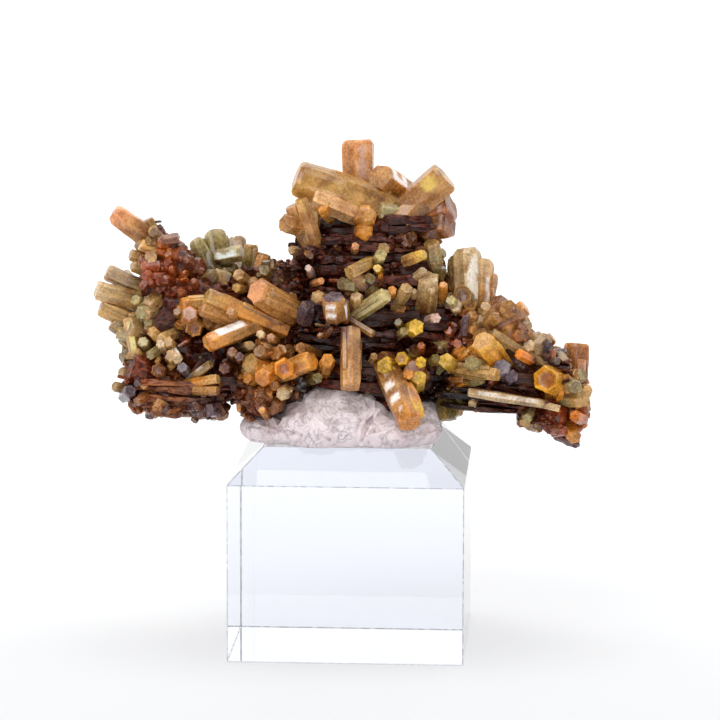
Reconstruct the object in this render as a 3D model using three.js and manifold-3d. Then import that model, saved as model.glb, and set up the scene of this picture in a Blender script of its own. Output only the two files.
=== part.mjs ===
// Pyromorphite with barite on a clear acrylic display block, held by a lump of mineral putty.
// Millimetres, +Z up. The origin is the centre of the block's underside, and -Y is the front.
import * as THREE from 'three';
import { mergeVertices } from 'three/addons/utils/BufferGeometryUtils.js';
import Module from 'manifold-3d';

const wasm = await Module();
wasm.setup();

// Driving sizes
const BLOCK_SIDE = 25.4;
const BLOCK_HEIGHT = 22.9;
const BLOCK_BEVEL = 3.6;
const PUTTY_GAP = 0.3;
const HEX_SIDES = 6;
const BLADE_CORNERS = 6;
const CHAMFERED_FROM = 2.5;

// The specimen was measured in a picture, 720 by 720 pixels, taken from the front and a little above.
// A place in it is [across, down] in pixels, and its depth is in mm behind the block's middle.
const PICTURE_MIDDLE = 360;
const VIEW_DISTANCE = 412;
const VIEW_FOCAL_PIXELS = 3768;
const VIEW_AIM = new THREE.Vector3(0.8, 0, 31);
const VIEW_AZIMUTH = THREE.MathUtils.degToRad(3.4);
const VIEW_ELEVATION = THREE.MathUtils.degToRad(9.1);

const away = new THREE.Vector3(
  -Math.sin(VIEW_AZIMUTH) * Math.cos(VIEW_ELEVATION),
  Math.cos(VIEW_AZIMUTH) * Math.cos(VIEW_ELEVATION),
  -Math.sin(VIEW_ELEVATION),
);
const right = new THREE.Vector3(Math.cos(VIEW_AZIMUTH), Math.sin(VIEW_AZIMUTH), 0);
const up = new THREE.Vector3().crossVectors(right, away);

// A small repeatable random number source
function randomFrom(seed) {
  let state = seed >>> 0;
  return () => {
    state = (state + 0x6d2b79f5) >>> 0;
    let mixed = state;
    mixed = Math.imul(mixed ^ (mixed >>> 15), mixed | 1);
    mixed ^= mixed + Math.imul(mixed ^ (mixed >>> 7), mixed | 61);
    return ((mixed ^ (mixed >>> 14)) >>> 0) / 4294967296;
  };
}

// Where a place in the picture lies in the object, at a given depth
function seen([across, down], depth) {
  const scale = (VIEW_DISTANCE + depth) / VIEW_FOCAL_PIXELS;
  return VIEW_AIM.clone()
    .addScaledVector(right, (across - PICTURE_MIDDLE) * scale)
    .addScaledVector(up, (PICTURE_MIDDLE - down) * scale)
    .addScaledVector(away, depth);
}

// A closed three.js geometry as a solid that can be joined and cut
function solidOf(geometry) {
  const bare = geometry.index ? geometry.toNonIndexed() : geometry.clone();
  bare.deleteAttribute('normal');
  bare.deleteAttribute('uv');
  const merged = mergeVertices(bare, 1e-4);
  const corners = merged.index.array;
  const kept = [];
  for (let i = 0; i < corners.length; i += 3) {
    const [a, b, c] = corners.slice(i, i + 3);
    if (a !== b && b !== c && c !== a) kept.push(a, b, c);
  }
  return new wasm.Manifold(new wasm.Mesh({
    numProp: 3,
    vertProperties: new Float32Array(merged.attributes.position.array),
    triVerts: new Uint32Array(kept),
  }));
}

// A solid's surface as a three.js geometry, about its own anchor point
function geometryOf(solid, anchor) {
  const mesh = solid.getMesh();
  const geometry = new THREE.BufferGeometry();
  geometry.setAttribute('position', new THREE.BufferAttribute(mesh.vertProperties, 3));
  geometry.setIndex(new THREE.BufferAttribute(mesh.triVerts, 1));
  return geometry.translate(-anchor.x, -anchor.y, -anchor.z);
}

const joined = (solids) => solids.reduce((all, one) => all.add(one));

// The largest body of a solid, so that no chip left by a cut stays
function largest(solid) {
  return solid.decompose().reduce((best, one) => (one.volume() > best.volume() ? one : best));
}

// A lengthwise frame: local X and Z across, local Y from start to end
function along(start, end, twist) {
  const direction = end.clone().sub(start).normalize();
  const turn = new THREE.Quaternion().setFromUnitVectors(new THREE.Vector3(0, 1, 0), direction);
  const spin = new THREE.Quaternion().setFromAxisAngle(new THREE.Vector3(0, 1, 0), twist);
  return new THREE.Matrix4().compose(start, turn.multiply(spin), new THREE.Vector3(1, 1, 1));
}

// One hexagonal pyromorphite prism, narrower at its root, with a worn rim and, where hollow, a hopper end
function prism({ tip, root, depth, width, twist = 0.3, hollow = 0 }) {
  const start = seen(root, depth[1]);
  const end = seen(tip, depth[0]);
  const length = start.distanceTo(end);
  const radius = width / 2;
  const rim = width < CHAMFERED_FROM ? 0 : 0.13 * width;
  const profile = [[0, 0], [radius * 0.92, 0], [radius, length - rim]];
  if (rim) profile.push([radius - rim, length]);
  if (hollow) profile.push([radius * 0.5, length - hollow]);
  profile.push([0, length - hollow]);
  const lathe = new THREE.LatheGeometry(profile.map(([x, y]) => new THREE.Vector2(x, y)), HEX_SIDES);
  return solidOf(lathe.applyMatrix4(along(start, end, twist)));
}

// One barite blade seen nearly edge-on, between its two ends, and from near to far in depth
function blade({ ends, thick, near, far, pitch = 0 }, index) {
  const random = randomFrom(index + 11);
  const [start, end] = ends.map((place) => seen(place, (near + far) / 2));
  const lengthwise = end.clone().sub(start).normalize();
  const inward = away.clone().applyAxisAngle(lengthwise, pitch);
  inward.addScaledVector(lengthwise, -inward.dot(lengthwise)).normalize();
  const normal = new THREE.Vector3().crossVectors(lengthwise, inward);
  const halfLength = start.distanceTo(end) / 2;
  const halfDepth = (far - near) / 2;
  const corners = [];
  for (let k = 0; k < BLADE_CORNERS; k += 1) {
    const angle = ((k + 0.6 * random()) / BLADE_CORNERS) * 2 * Math.PI;
    const [c, s] = [Math.cos(angle), Math.sin(angle)];
    const reach = (0.93 + 0.1 * random()) / (Math.abs(c) ** 4 + Math.abs(s) ** 4) ** 0.25;
    corners.push(new THREE.Vector2(c * reach * halfLength, s * reach * halfDepth));
  }
  const slab = new THREE.ExtrudeGeometry(new THREE.Shape(corners), { depth: thick, bevelEnabled: false });
  slab.translate(0, 0, -thick / 2);
  const centre = start.clone().add(end).multiplyScalar(0.5);
  slab.applyMatrix4(new THREE.Matrix4().makeBasis(lengthwise, inward, normal).setPosition(centre));
  return solidOf(slab);
}

// A thicker mass of intergrown barite, given by its outline in the picture and its depth from near to far
function mass({ outline, near, far, round }) {
  const scale = VIEW_DISTANCE / VIEW_FOCAL_PIXELS;
  const flat = outline.map(([across, down]) => (
    new THREE.Vector2((across - PICTURE_MIDDLE) * scale, (PICTURE_MIDDLE - down) * scale)
  ));
  const body = new THREE.ExtrudeGeometry(new THREE.Shape(flat), {
    depth: far - near - 2 * round,
    bevelEnabled: true,
    bevelThickness: round,
    bevelSize: round * 0.6,
    bevelOffset: -round * 0.6,
    bevelSegments: 1,
  });
  body.translate(0, 0, round - far);
  const towards = away.clone().negate();
  body.applyMatrix4(new THREE.Matrix4().makeBasis(right, up, towards).setPosition(VIEW_AIM));
  return solidOf(body);
}

// The display block: a square prism with its four top edges bevelled, turned as a lathe of four sides
function displayBlock() {
  const corner = Math.SQRT2 / 2;
  const outline = [
    [0, 0],
    [BLOCK_SIDE * corner, 0],
    [BLOCK_SIDE * corner, BLOCK_HEIGHT - BLOCK_BEVEL],
    [(BLOCK_SIDE - 2 * BLOCK_BEVEL) * corner, BLOCK_HEIGHT],
    [0, BLOCK_HEIGHT],
  ].map(([x, y]) => new THREE.Vector2(x, y));
  const lathe = new THREE.LatheGeometry(outline, 4, Math.PI / 4);
  return solidOf(lathe.rotateX(Math.PI / 2));
}

// The putty: lobes pressed out over the block's flat top, with their radii across, deep and high
const PUTTY_LOBES = [
  { at: [338, 424], depth: -2.0, radii: [6.6, 6.8, 4.2] },
  { at: [333, 404], depth: -2.5, radii: [4.0, 4.5, 2.3] },
  { at: [283, 431], depth: -1.0, radii: [4.3, 5.6, 2.0] },
  { at: [262, 427], depth: -1.0, radii: [2.2, 4.2, 1.5] },
  { at: [408, 430], depth: -2.0, radii: [4.0, 6.0, 2.6] },
  { at: [424, 420], depth: -1.0, radii: [2.1, 4.6, 2.4] },
  { at: [318, 430], depth: -5.6, radii: [4.4, 3.3, 2.6] },
  { at: [385, 434], depth: -6.0, radii: [4.6, 2.9, 1.8] },
  { at: [345, 415], depth: 5.0, radii: [8.0, 4.2, 3.2] },
];

function puttyLobe({ at, depth, radii }, grow) {
  const ball = new THREE.SphereGeometry(1, 10, 6).rotateX(Math.PI / 2);
  ball.scale(...radii.map((radius) => radius + grow));
  const centre = seen(at, depth);
  return solidOf(ball.translate(centre.x, centre.y, centre.z));
}

function puttyLump() {
  const below = new THREE.BoxGeometry(60, 60, 20).translate(0, 0, BLOCK_HEIGHT - 10);
  const lump = joined(PUTTY_LOBES.map((lobe) => puttyLobe(lobe, 0)));
  return largest(lump.subtract(solidOf(below)));
}

// Pyromorphite crystals by where they grow
const CROWN = [
  { tip: [357, 141], root: [360, 226], depth: [1.6, 1.2], width: 3.9, twist: 0.0 },
  { tip: [296, 177], root: [398, 213], depth: [-3.0, -1.4], width: 4.2, twist: 0.1 },
  { tip: [303, 196], root: [378, 221], depth: [-4.0, -2.6], width: 2.6, twist: 0.5 },
  { tip: [380, 168], root: [404, 212], depth: [0.2, 0.4], width: 3.6, twist: 0.4 },
  { tip: [444, 177], root: [384, 228], depth: [-2.8, -1.0], width: 3.9, twist: 0.2 },
  { tip: [447, 211], root: [405, 224], depth: [-1.4, 0.8], width: 4.2, twist: 0.5 },
  { tip: [367, 215], root: [372, 219], depth: [-6.4, -1.0], width: 2.6 },
  { tip: [365, 230], root: [372, 228], depth: [-6.0, -1.0], width: 2.2, twist: 0.5 },
  { tip: [300, 199], root: [319, 250], depth: [-4.6, -3.0], width: 1.7, twist: 0.1 },
  { tip: [291, 206], root: [308, 246], depth: [-4.2, -2.6], width: 1.7, twist: 0.4 },
  { tip: [285, 224], root: [314, 228], depth: [-5.0, -1.2], width: 2.4, twist: 0.5 },
  { tip: [352, 198], root: [362, 218], depth: [9.2, 1.0], width: 3.0 },
  { tip: [416, 200], root: [392, 222], depth: [8.0, 1.0], width: 2.8 },
  { tip: [322, 206], root: [366, 224], depth: [7.0, 0.5], width: 2.7 },
];

const NECK = [
  { tip: [333, 309], root: [336, 302], depth: [-7.6, -2.4], width: 2.8, twist: 0.5 },
  { tip: [383, 298], root: [352, 316], depth: [-7.4, -4.4], width: 1.9, twist: 0.1 },
  { tip: [416, 327], root: [420, 326], depth: [-7.8, -2.0], width: 1.9, twist: 0.5 },
  { tip: [349, 273], root: [370, 262], depth: [-6.6, -3.6], width: 1.9, twist: 0.2 },
  { tip: [431, 242], root: [436, 276], depth: [-3.8, -1.8], width: 1.8, twist: 0.2 },
  { tip: [428, 277], root: [425, 308], depth: [-5.0, -2.6], width: 2.5, twist: 0.3 },
  { tip: [404, 262], root: [430, 254], depth: [-5.4, -2.6], width: 1.4 },
  { tip: [407, 284], root: [420, 300], depth: [-6.2, -2.8], width: 1.7 },
  { tip: [392, 290], root: [394, 294], depth: [-6.2, -3.0], width: 1.2 },
];

const LEFT_FAN = [
  { tip: [113, 213], root: [158, 245], depth: [-1.4, 0.0], width: 2.7, twist: 0.5 },
  { tip: [147, 220], root: [160, 244], depth: [-0.4, 0.4], width: 1.6 },
  { tip: [106, 273], root: [146, 290], depth: [-0.6, 0.4], width: 2.0, twist: 0.2 },
  { tip: [96, 290], root: [146, 303], depth: [-1.8, -0.4], width: 2.3, twist: 0.4 },
  { tip: [100, 307], root: [146, 328], depth: [-1.2, 0.0], width: 2.2 },
  { tip: [112, 322], root: [146, 344], depth: [-0.6, 0.2], width: 2.2, twist: 0.1 },
  { tip: [121, 336], root: [148, 352], depth: [0.4, 0.6], width: 2.0, twist: 0.5 },
  { tip: [132, 318], root: [137, 358], depth: [-2.2, -1.0], width: 1.5, twist: 0.2 },
  { tip: [108, 296], root: [148, 312], depth: [5.0, 1.0], width: 2.2 },
  { tip: [137, 244], root: [154, 252], depth: [-1.2, 0.0], width: 1.5 },
  { tip: [130, 255], root: [154, 262], depth: [-1.0, 0.0], width: 1.5 },
  { tip: [132, 266], root: [156, 274], depth: [-1.2, 0.0], width: 1.6 },
];

const OLIVE_CLUSTER = [
  { tip: [195, 240], root: [214, 276], depth: [2.6, 2.0], width: 2.2, twist: 0.5 },
  { tip: [214, 230], root: [222, 278], depth: [3.4, 2.2], width: 3.0, twist: 0.1 },
  { tip: [229, 259], root: [236, 268], depth: [-1.4, 4.4], width: 2.6, twist: 0.5 },
  { tip: [238, 237], root: [240, 274], depth: [4.6, 3.0], width: 1.8 },
  { tip: [251, 245], root: [248, 280], depth: [2.6, 2.4], width: 1.9, twist: 0.2 },
  { tip: [264, 254], root: [256, 282], depth: [2.4, 2.4], width: 1.8, twist: 0.4 },
  { tip: [277, 262], root: [258, 284], depth: [2.4, 2.4], width: 1.5 },
  { tip: [232, 246], root: [238, 272], depth: [9.0, 3.2], width: 2.6 },
];

const LEFT_FRONT = [
  { tip: [205, 298], root: [286, 331], depth: [-6.4, -3.2], width: 2.3, twist: 0.2 },
  { tip: [200, 309], root: [262, 330], depth: [-6.6, -3.4], width: 1.9, twist: 0.4 },
  { tip: [257, 292], root: [300, 316], depth: [-7.2, -2.2], width: 3.2, twist: 0.3 },
  { tip: [208, 343], root: [262, 322], depth: [-8.2, -3.6], width: 2.3, twist: 0.15 },
  { tip: [190, 314], root: [194, 322], depth: [-7.2, -2.0], width: 2.0, twist: 0.5 },
  { tip: [192, 330], root: [197, 322], depth: [-5.8, -2.0], width: 1.9 },
  { tip: [218, 379], root: [170, 388], depth: [-6.6, -3.4], width: 1.2, twist: 0.2 },
  { tip: [218, 391], root: [174, 391], depth: [-6.8, -3.6], width: 1.2, twist: 0.5 },
  { tip: [238, 275], root: [248, 282], depth: [-4.6, -1.0], width: 1.5 },
  { tip: [158, 371], root: [162, 372], depth: [-6.4, -3.0], width: 1.7 },
  { tip: [171, 356], root: [176, 358], depth: [-6.6, -3.0], width: 1.6 },
  { tip: [114, 387], root: [130, 390], depth: [-1.4, 0.0], width: 1.2 },
  { tip: [260, 350], root: [262, 346], depth: [-6.2, -3.0], width: 1.2 },
];

const CENTRE_FRONT = [
  { tip: [413, 422], root: [383, 360], depth: [-10.6, -5.0], width: 3.2, twist: 0.25 },
  { tip: [351, 388], root: [350, 330], depth: [-9.2, -6.4], width: 2.5, twist: 0.5 },
  { tip: [411, 369], root: [414, 364], depth: [-8.6, -3.4], width: 4.3, twist: 0.1, hollow: 0.9 },
  { tip: [248, 363], root: [276, 374], depth: [-7.0, -4.0], width: 2.4, twist: 0.2 },
  { tip: [262, 378], root: [280, 368], depth: [-7.4, -4.0], width: 2.3 },
  { tip: [284, 369], root: [284, 368], depth: [-8.6, -4.0], width: 2.5, twist: 0.5, hollow: 0.7 },
  { tip: [312, 360], root: [278, 374], depth: [-8.2, -5.2], width: 2.3, twist: 0.1 },
  { tip: [328, 360], root: [324, 372], depth: [-9.0, -4.0], width: 1.8, twist: 0.0 },
  { tip: [282, 395], root: [288, 388], depth: [-8.0, -4.0], width: 1.7 },
  { tip: [445, 360], root: [448, 356], depth: [-7.4, -3.0], width: 1.8 },
];

const RIGHT_FAN = [
  { tip: [467, 248], root: [466, 322], depth: [-0.6, -0.6], width: 3.8, twist: 0.35 },
  { tip: [484, 256], root: [478, 316], depth: [-1.0, -0.8], width: 2.5, twist: 0.1 },
  { tip: [491, 272], root: [482, 318], depth: [-0.6, -0.4], width: 1.9, twist: 0.5 },
  { tip: [455, 254], root: [460, 310], depth: [1.2, 0.4], width: 2.2 },
  { tip: [476, 262], root: [472, 314], depth: [3.6, 0.6], width: 2.6 },
  { tip: [462, 294], root: [466, 302], depth: [-4.2, -0.6], width: 2.4, twist: 0.2 },
  { tip: [496, 305], root: [500, 342], depth: [-0.8, -0.6], width: 2.3, twist: 0.3 },
  { tip: [508, 312], root: [506, 342], depth: [-0.2, 0.0], width: 1.9, twist: 0.1 },
  { tip: [504, 322], root: [504, 338], depth: [5.4, 0.4], width: 2.4 },
];

const RIGHT_WING = [
  { tip: [482, 340], root: [504, 372], depth: [-6.6, -2.6], width: 2.7, twist: 0.4 },
  { tip: [492, 332], root: [552, 368], depth: [-5.2, -2.8], width: 1.2, twist: 0.2 },
  { tip: [545, 378], root: [582, 388], depth: [-6.6, -1.0], width: 3.3, twist: 0.5, hollow: 0.8 },
  { tip: [576, 344], root: [573, 402], depth: [0.6, 0.4], width: 3.1, twist: 0.2 },
  { tip: [583, 398], root: [560, 396], depth: [-4.4, -1.2], width: 2.3, twist: 0.3 },
  { tip: [498, 375], root: [450, 367], depth: [-6.4, -3.4], width: 1.7, twist: 0.2 },
  { tip: [468, 392], root: [545, 403], depth: [-5.6, -2.6], width: 1.4, twist: 0.5 },
  { tip: [448, 420], root: [446, 390], depth: [-2.6, -2.0], width: 2.1, twist: 0.2 },
  { tip: [457, 416], root: [452, 390], depth: [-1.6, -1.2], width: 1.9, twist: 0.5 },
  { tip: [529, 345], root: [532, 352], depth: [-4.4, -1.0], width: 1.6 },
  { tip: [537, 335], root: [538, 345], depth: [-1.4, 0.0], width: 1.5 },
  { tip: [525, 423], root: [528, 412], depth: [-2.8, -1.0], width: 1.4 },
  { tip: [574, 437], root: [570, 425], depth: [-3.8, -1.0], width: 1.8 },
];

// The back isn't in the picture, and its crystals repeat the ways of growing seen at the front
const BACK = [
  { tip: [338, 262], root: [352, 284], depth: [14.0, 4.0], width: 3.4, twist: 0.2 },
  { tip: [372, 250], root: [360, 280], depth: [12.0, 4.0], width: 2.8 },
  { tip: [362, 300], root: [356, 290], depth: [13.2, 4.0], width: 2.6, twist: 0.5 },
  { tip: [214, 330], root: [234, 345], depth: [10.4, 2.0], width: 2.9, twist: 0.4 },
  { tip: [244, 312], root: [242, 345], depth: [9.2, 2.0], width: 2.4 },
  { tip: [486, 345], root: [478, 362], depth: [10.4, 2.0], width: 3.0, twist: 0.1 },
  { tip: [512, 362], root: [484, 368], depth: [8.4, 2.0], width: 2.4 },
];

// Barite blades, edge-on, in a stack from under the crown down to the putty, then those of the two wings
const BLADES = [
  { ends: [[322, 231], [440, 229]], thick: 1.3, near: -3.4, far: 6 },
  { ends: [[290, 242], [434, 239]], thick: 0.9, near: -4.6, far: 6, pitch: 0.05 },
  { ends: [[288, 253], [340, 255]], thick: 1.5, near: -5.6, far: 4, pitch: -0.04 },
  { ends: [[302, 261], [440, 258]], thick: 1.1, near: -3.8, far: 7, pitch: 0.06 },
  { ends: [[316, 270], [444, 268]], thick: 1.2, near: -4.8, far: 6 },
  { ends: [[312, 281], [456, 279]], thick: 1.0, near: -5.8, far: 7, pitch: 0.03 },
  { ends: [[298, 291], [456, 290]], thick: 1.2, near: -4.2, far: 8 },
  { ends: [[294, 314], [462, 313]], thick: 1.3, near: -4.0, far: 9 },
  { ends: [[296, 328], [366, 330]], thick: 1.1, near: -7.2, far: 6, pitch: 0.05 },
  { ends: [[290, 338], [468, 337]], thick: 1.2, near: -4.6, far: 9, pitch: -0.04 },
  { ends: [[282, 350], [468, 348]], thick: 1.3, near: -5.6, far: 9 },
  { ends: [[272, 362], [462, 360]], thick: 1.3, near: -4.6, far: 9, pitch: 0.04 },
  { ends: [[276, 374], [458, 372]], thick: 1.3, near: -5.2, far: 8 },
  { ends: [[284, 387], [446, 385]], thick: 1.5, near: -4.6, far: 7, pitch: -0.05 },
  { ends: [[222, 274], [312, 268]], thick: 1.5, near: -2.6, far: 6, pitch: 0.1 },
  { ends: [[210, 288], [316, 286]], thick: 1.6, near: -3.4, far: 7, pitch: 0.08 },
  { ends: [[126, 404], [226, 410]], thick: 1.1, near: -6.0, far: 4, pitch: 0.05 },
  { ends: [[430, 377], [548, 387]], thick: 1.2, near: -5.6, far: 5, pitch: 0.05 },
  { ends: [[424, 391], [562, 397]], thick: 1.3, near: -4.4, far: 5 },
  { ends: [[462, 353], [576, 366]], thick: 1.4, near: -3.6, far: 6, pitch: -0.05 },
];

// Masses of barite: the steep left blade seen on its flat face, the wings, and the core behind the stack
const MASSES = [
  {
    outline: [[158, 220], [171, 234], [184, 251], [200, 266], [226, 277], [262, 284],
      [264, 306], [214, 308], [170, 306], [146, 298], [141, 276], [144, 250]],
    near: -2.8, far: 1.4, round: 0.9,
  },
  {
    outline: [[146, 262], [170, 268], [200, 276], [250, 286], [304, 298], [304, 334], [250, 342],
      [190, 346], [144, 348], [138, 300]],
    near: -4.2, far: 4.2, round: 1.4,
  },
  {
    outline: [[128, 356], [146, 338], [190, 334], [250, 330], [296, 336], [296, 384], [262, 412],
      [246, 415], [238, 404], [226, 400], [200, 410], [150, 410], [128, 400], [122, 378]],
    near: -4.8, far: 5.2, round: 1.6,
  },
  {
    outline: [[238, 376], [300, 376], [298, 394], [264, 417], [250, 417], [239, 405]],
    near: -6.6, far: 3.0, round: 1.2,
  },
  {
    outline: [[448, 300], [478, 304], [494, 302], [508, 308], [520, 324], [534, 334], [548, 346],
      [562, 354], [576, 378], [584, 403], [520, 402], [440, 396], [440, 340]],
    near: -3.8, far: 4.8, round: 1.4,
  },
  {
    outline: [[514, 402], [584, 402], [580, 428], [584, 446], [575, 450], [554, 441], [540, 430], [520, 418]],
    near: -3.0, far: 2.8, round: 0.9,
  },
  {
    outline: [[322, 212], [428, 212], [435, 262], [450, 300], [464, 330], [456, 398], [300, 400], [284, 340], [306, 300], [304, 262]],
    near: -2.6, far: 6.4, round: 1.4,
  },
];

function specimen() {
  const crystals = [CROWN, NECK, LEFT_FAN, OLIVE_CLUSTER, LEFT_FRONT, CENTRE_FRONT, RIGHT_FAN, RIGHT_WING, BACK];
  const grown = joined([...BLADES.map(blade), ...MASSES.map(mass), ...crystals.flat().map(prism)]);
  const seat = joined(PUTTY_LOBES.map((lobe) => puttyLobe(lobe, PUTTY_GAP)));
  return largest(grown.subtract(seat));
}

const acrylic = new THREE.MeshStandardMaterial({
  color: 0xeef5f8, roughness: 0.05, metalness: 0, transparent: true, opacity: 0.35,
});
const tackyPutty = new THREE.MeshStandardMaterial({ color: 0xc9bdc2, roughness: 0.8, metalness: 0 });
const mineral = new THREE.MeshStandardMaterial({ color: 0x8a5a2e, roughness: 0.35, metalness: 0 });

function node(name, solid, anchor, material) {
  const mesh = new THREE.Mesh(geometryOf(solid, anchor), material);
  mesh.name = name;
  mesh.position.copy(anchor);
  return mesh;
}

const onBlock = new THREE.Vector3(0, 0, BLOCK_HEIGHT);
const object = new THREE.Group();
object.add(node('acrylic_block', displayBlock(), new THREE.Vector3(), acrylic));
object.add(node('putty', puttyLump(), onBlock, tackyPutty));
object.add(node('mineral_specimen', specimen(), onBlock, mineral));

export default object;
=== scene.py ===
import math

import bpy
import numpy as np
from mathutils import Matrix, Vector


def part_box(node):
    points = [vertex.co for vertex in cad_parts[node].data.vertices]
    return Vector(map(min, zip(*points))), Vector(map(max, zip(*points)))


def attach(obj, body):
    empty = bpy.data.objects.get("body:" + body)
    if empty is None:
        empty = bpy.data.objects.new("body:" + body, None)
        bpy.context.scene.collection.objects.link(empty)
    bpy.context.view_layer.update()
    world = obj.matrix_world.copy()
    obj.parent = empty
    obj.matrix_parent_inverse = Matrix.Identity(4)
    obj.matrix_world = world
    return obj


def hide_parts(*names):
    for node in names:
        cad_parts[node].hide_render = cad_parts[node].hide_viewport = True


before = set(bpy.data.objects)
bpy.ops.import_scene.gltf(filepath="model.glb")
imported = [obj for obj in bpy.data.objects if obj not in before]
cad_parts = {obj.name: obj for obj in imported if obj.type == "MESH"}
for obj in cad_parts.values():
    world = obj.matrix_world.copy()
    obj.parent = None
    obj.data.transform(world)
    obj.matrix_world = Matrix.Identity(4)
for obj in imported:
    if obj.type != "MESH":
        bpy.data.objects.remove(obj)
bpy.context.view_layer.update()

MM = 0.001
BLOCK_BACK = 12.7
BLOCK_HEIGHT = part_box("acrylic_block")[1][2] / MM

# The picture is 720 by 720 pixels. A place in it is (across, down) in pixels, and a depth is in mm
# behind the block's middle.
PICTURE_MIDDLE = 360.0
VIEW_DISTANCE = 412.0
VIEW_FOCAL_PIXELS = 3768.0
VIEW_AIM = np.array([0.8, 0.0, 31.0])
VIEW_AZIMUTH = math.radians(3.4)
VIEW_ELEVATION = math.radians(9.1)
VIEW_ROLL = math.radians(0.15)
SENSOR_WIDTH = 36.0

AWAY = np.array([
    -math.sin(VIEW_AZIMUTH) * math.cos(VIEW_ELEVATION),
    math.cos(VIEW_AZIMUTH) * math.cos(VIEW_ELEVATION),
    -math.sin(VIEW_ELEVATION),
])
RIGHT = np.array([math.cos(VIEW_AZIMUTH), math.sin(VIEW_AZIMUTH), 0.0])
UP = np.cross(RIGHT, AWAY)

# Colours, linear
TAN = (0.43, 0.200, 0.055)
STRAW = (0.47, 0.265, 0.075)
GOLD = (0.54, 0.205, 0.018)
YELLOW = (0.60, 0.36, 0.018)
PEACH = (0.55, 0.232, 0.082)
OLIVE = (0.145, 0.10, 0.018)
PALE_OLIVE = (0.35, 0.28, 0.115)
BEIGE = (0.35, 0.212, 0.078)
SILVER = (0.50, 0.345, 0.175)
RUSSET = (0.22, 0.068, 0.012)
RUST = (0.34, 0.07, 0.008)
LILAC = (0.105, 0.07, 0.095)
DUSK = (0.06, 0.038, 0.055)
FLAME = (0.62, 0.17, 0.008)
# The next colour is painted shade, for dark pieces that stand in shadowed gaps.
PAINTED_SHADE = (0.025, 0.008, 0.005)
MAROON = (0.085, 0.016, 0.007)
# WHITE and LEMON colour only painted reflections on crystal facets; PINK colours both crystals and painted
# reflections.
WHITE = (1.0, 0.97, 0.95)
PINK = (0.72, 0.50, 0.42)
LEMON = (0.78, 0.55, 0.12)
HONEY = (0.45, 0.235, 0.052)
WHEAT = (0.58, 0.33, 0.15)
BRONZE = (0.34, 0.145, 0.038)
BRASS = (0.42, 0.21, 0.05)
CHESTNUT = (0.24, 0.07, 0.012)
UMBER = (0.17, 0.05, 0.010)
APRICOT = (0.58, 0.27, 0.05)
CORAL = (0.72, 0.29, 0.12)
SALMON = (0.66, 0.27, 0.10)
COPPER = (0.60, 0.22, 0.03)
COCOA = (0.30, 0.12, 0.03)
CINNAMON = (0.40, 0.15, 0.04)
MARIGOLD = (0.62, 0.25, 0.02)
SAFFRON = (0.80, 0.42, 0.05)
AMBER = (0.80, 0.40, 0.02)
TOFFEE = (0.66, 0.36, 0.12)
DARK_AMBER = (0.34, 0.10, 0.005)
DARK_OLIVE = (0.10, 0.07, 0.012)
# CREAM, BLUSH, PRIMROSE and FROST colour only painted reflections on crystal facets.
CREAM = (1.0, 0.92, 0.80)
BLUSH = (0.98, 0.88, 0.80)
PRIMROSE = (0.92, 0.78, 0.30)
FROST = (0.86, 0.90, 0.84)


def seen(place, depth):
    """Where a place in the picture lies in the object, in mm, at a given depth."""
    scale = (VIEW_DISTANCE + depth) / VIEW_FOCAL_PIXELS
    across = (place[0] - PICTURE_MIDDLE) * scale
    high = (PICTURE_MIDDLE - place[1]) * scale
    return VIEW_AIM + RIGHT * across + UP * high + AWAY * depth


def picture_places(points):
    """The places in the picture of an array of points in mm."""
    from_aim = points - VIEW_AIM
    scale = VIEW_FOCAL_PIXELS / (VIEW_DISTANCE + from_aim @ AWAY)
    across = PICTURE_MIDDLE + (from_aim @ RIGHT) * scale
    down = PICTURE_MIDDLE - (from_aim @ UP) * scale
    return np.stack([across, down], axis=1)


def nearness(places, centre, reach):
    """How near each place in the picture is to a centre, from 1 there to 0 well past the reach."""
    return np.exp(-np.sum((places - np.array(centre)) ** 2, axis=1) / reach ** 2)


def unit(vector):
    return vector / np.linalg.norm(vector)


def lattice_value(cells, seed):
    """A repeatable random value from -1 to 1 for each whole-numbered cell."""
    mixed = cells[:, 0] * 374761393 + cells[:, 1] * 668265263 + cells[:, 2] * 2147483647 + seed * 1274126177
    mixed = (mixed ^ (mixed >> 13)) * 1274126177
    mixed = mixed ^ (mixed >> 16)
    return (mixed & 0xFFFF) / 32767.5 - 1.0


def field(points, size, seed):
    """Smooth noise from -1 to 1 at each point, with features of about that size in mm."""
    scaled = points / size + 1000.0
    cell = np.floor(scaled).astype(np.int64)
    part = scaled - cell
    part = part * part * (3.0 - 2.0 * part)
    total = np.zeros(len(points))
    for corner in np.ndindex(2, 2, 2):
        weight = np.prod(np.where(np.array(corner) == 1, part, 1.0 - part), axis=1)
        total += weight * lattice_value(cell + np.array(corner), seed)
    return total


def layered(points, size, seed, layers=3):
    """Noise with finer and weaker layers."""
    return sum(field(points, size / 2 ** k, seed + k) / 2 ** k for k in range(layers))


class Shapes:
    """Many small closed shapes with a colour and a place of their own at each point, joined as one piece."""

    def __init__(self):
        self.points = []
        self.faces = []
        self.tints = []
        self.grains = []
        self.count = 0

    def add(self, points, faces, tints, grains):
        self.faces += [tuple(corner + self.count for corner in face) for face in faces]
        self.points.append(points)
        self.tints.append(tints)
        self.grains.append(grains)
        self.count += len(points)

    def piece(self, name, material, smooth=False):
        mesh = bpy.data.meshes.new(name)
        mesh.from_pydata((np.concatenate(self.points) * MM).tolist(), [], self.faces)
        paint(mesh, np.concatenate(self.tints), np.concatenate(self.grains))
        return finished(name, mesh, material, smooth)


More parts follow.
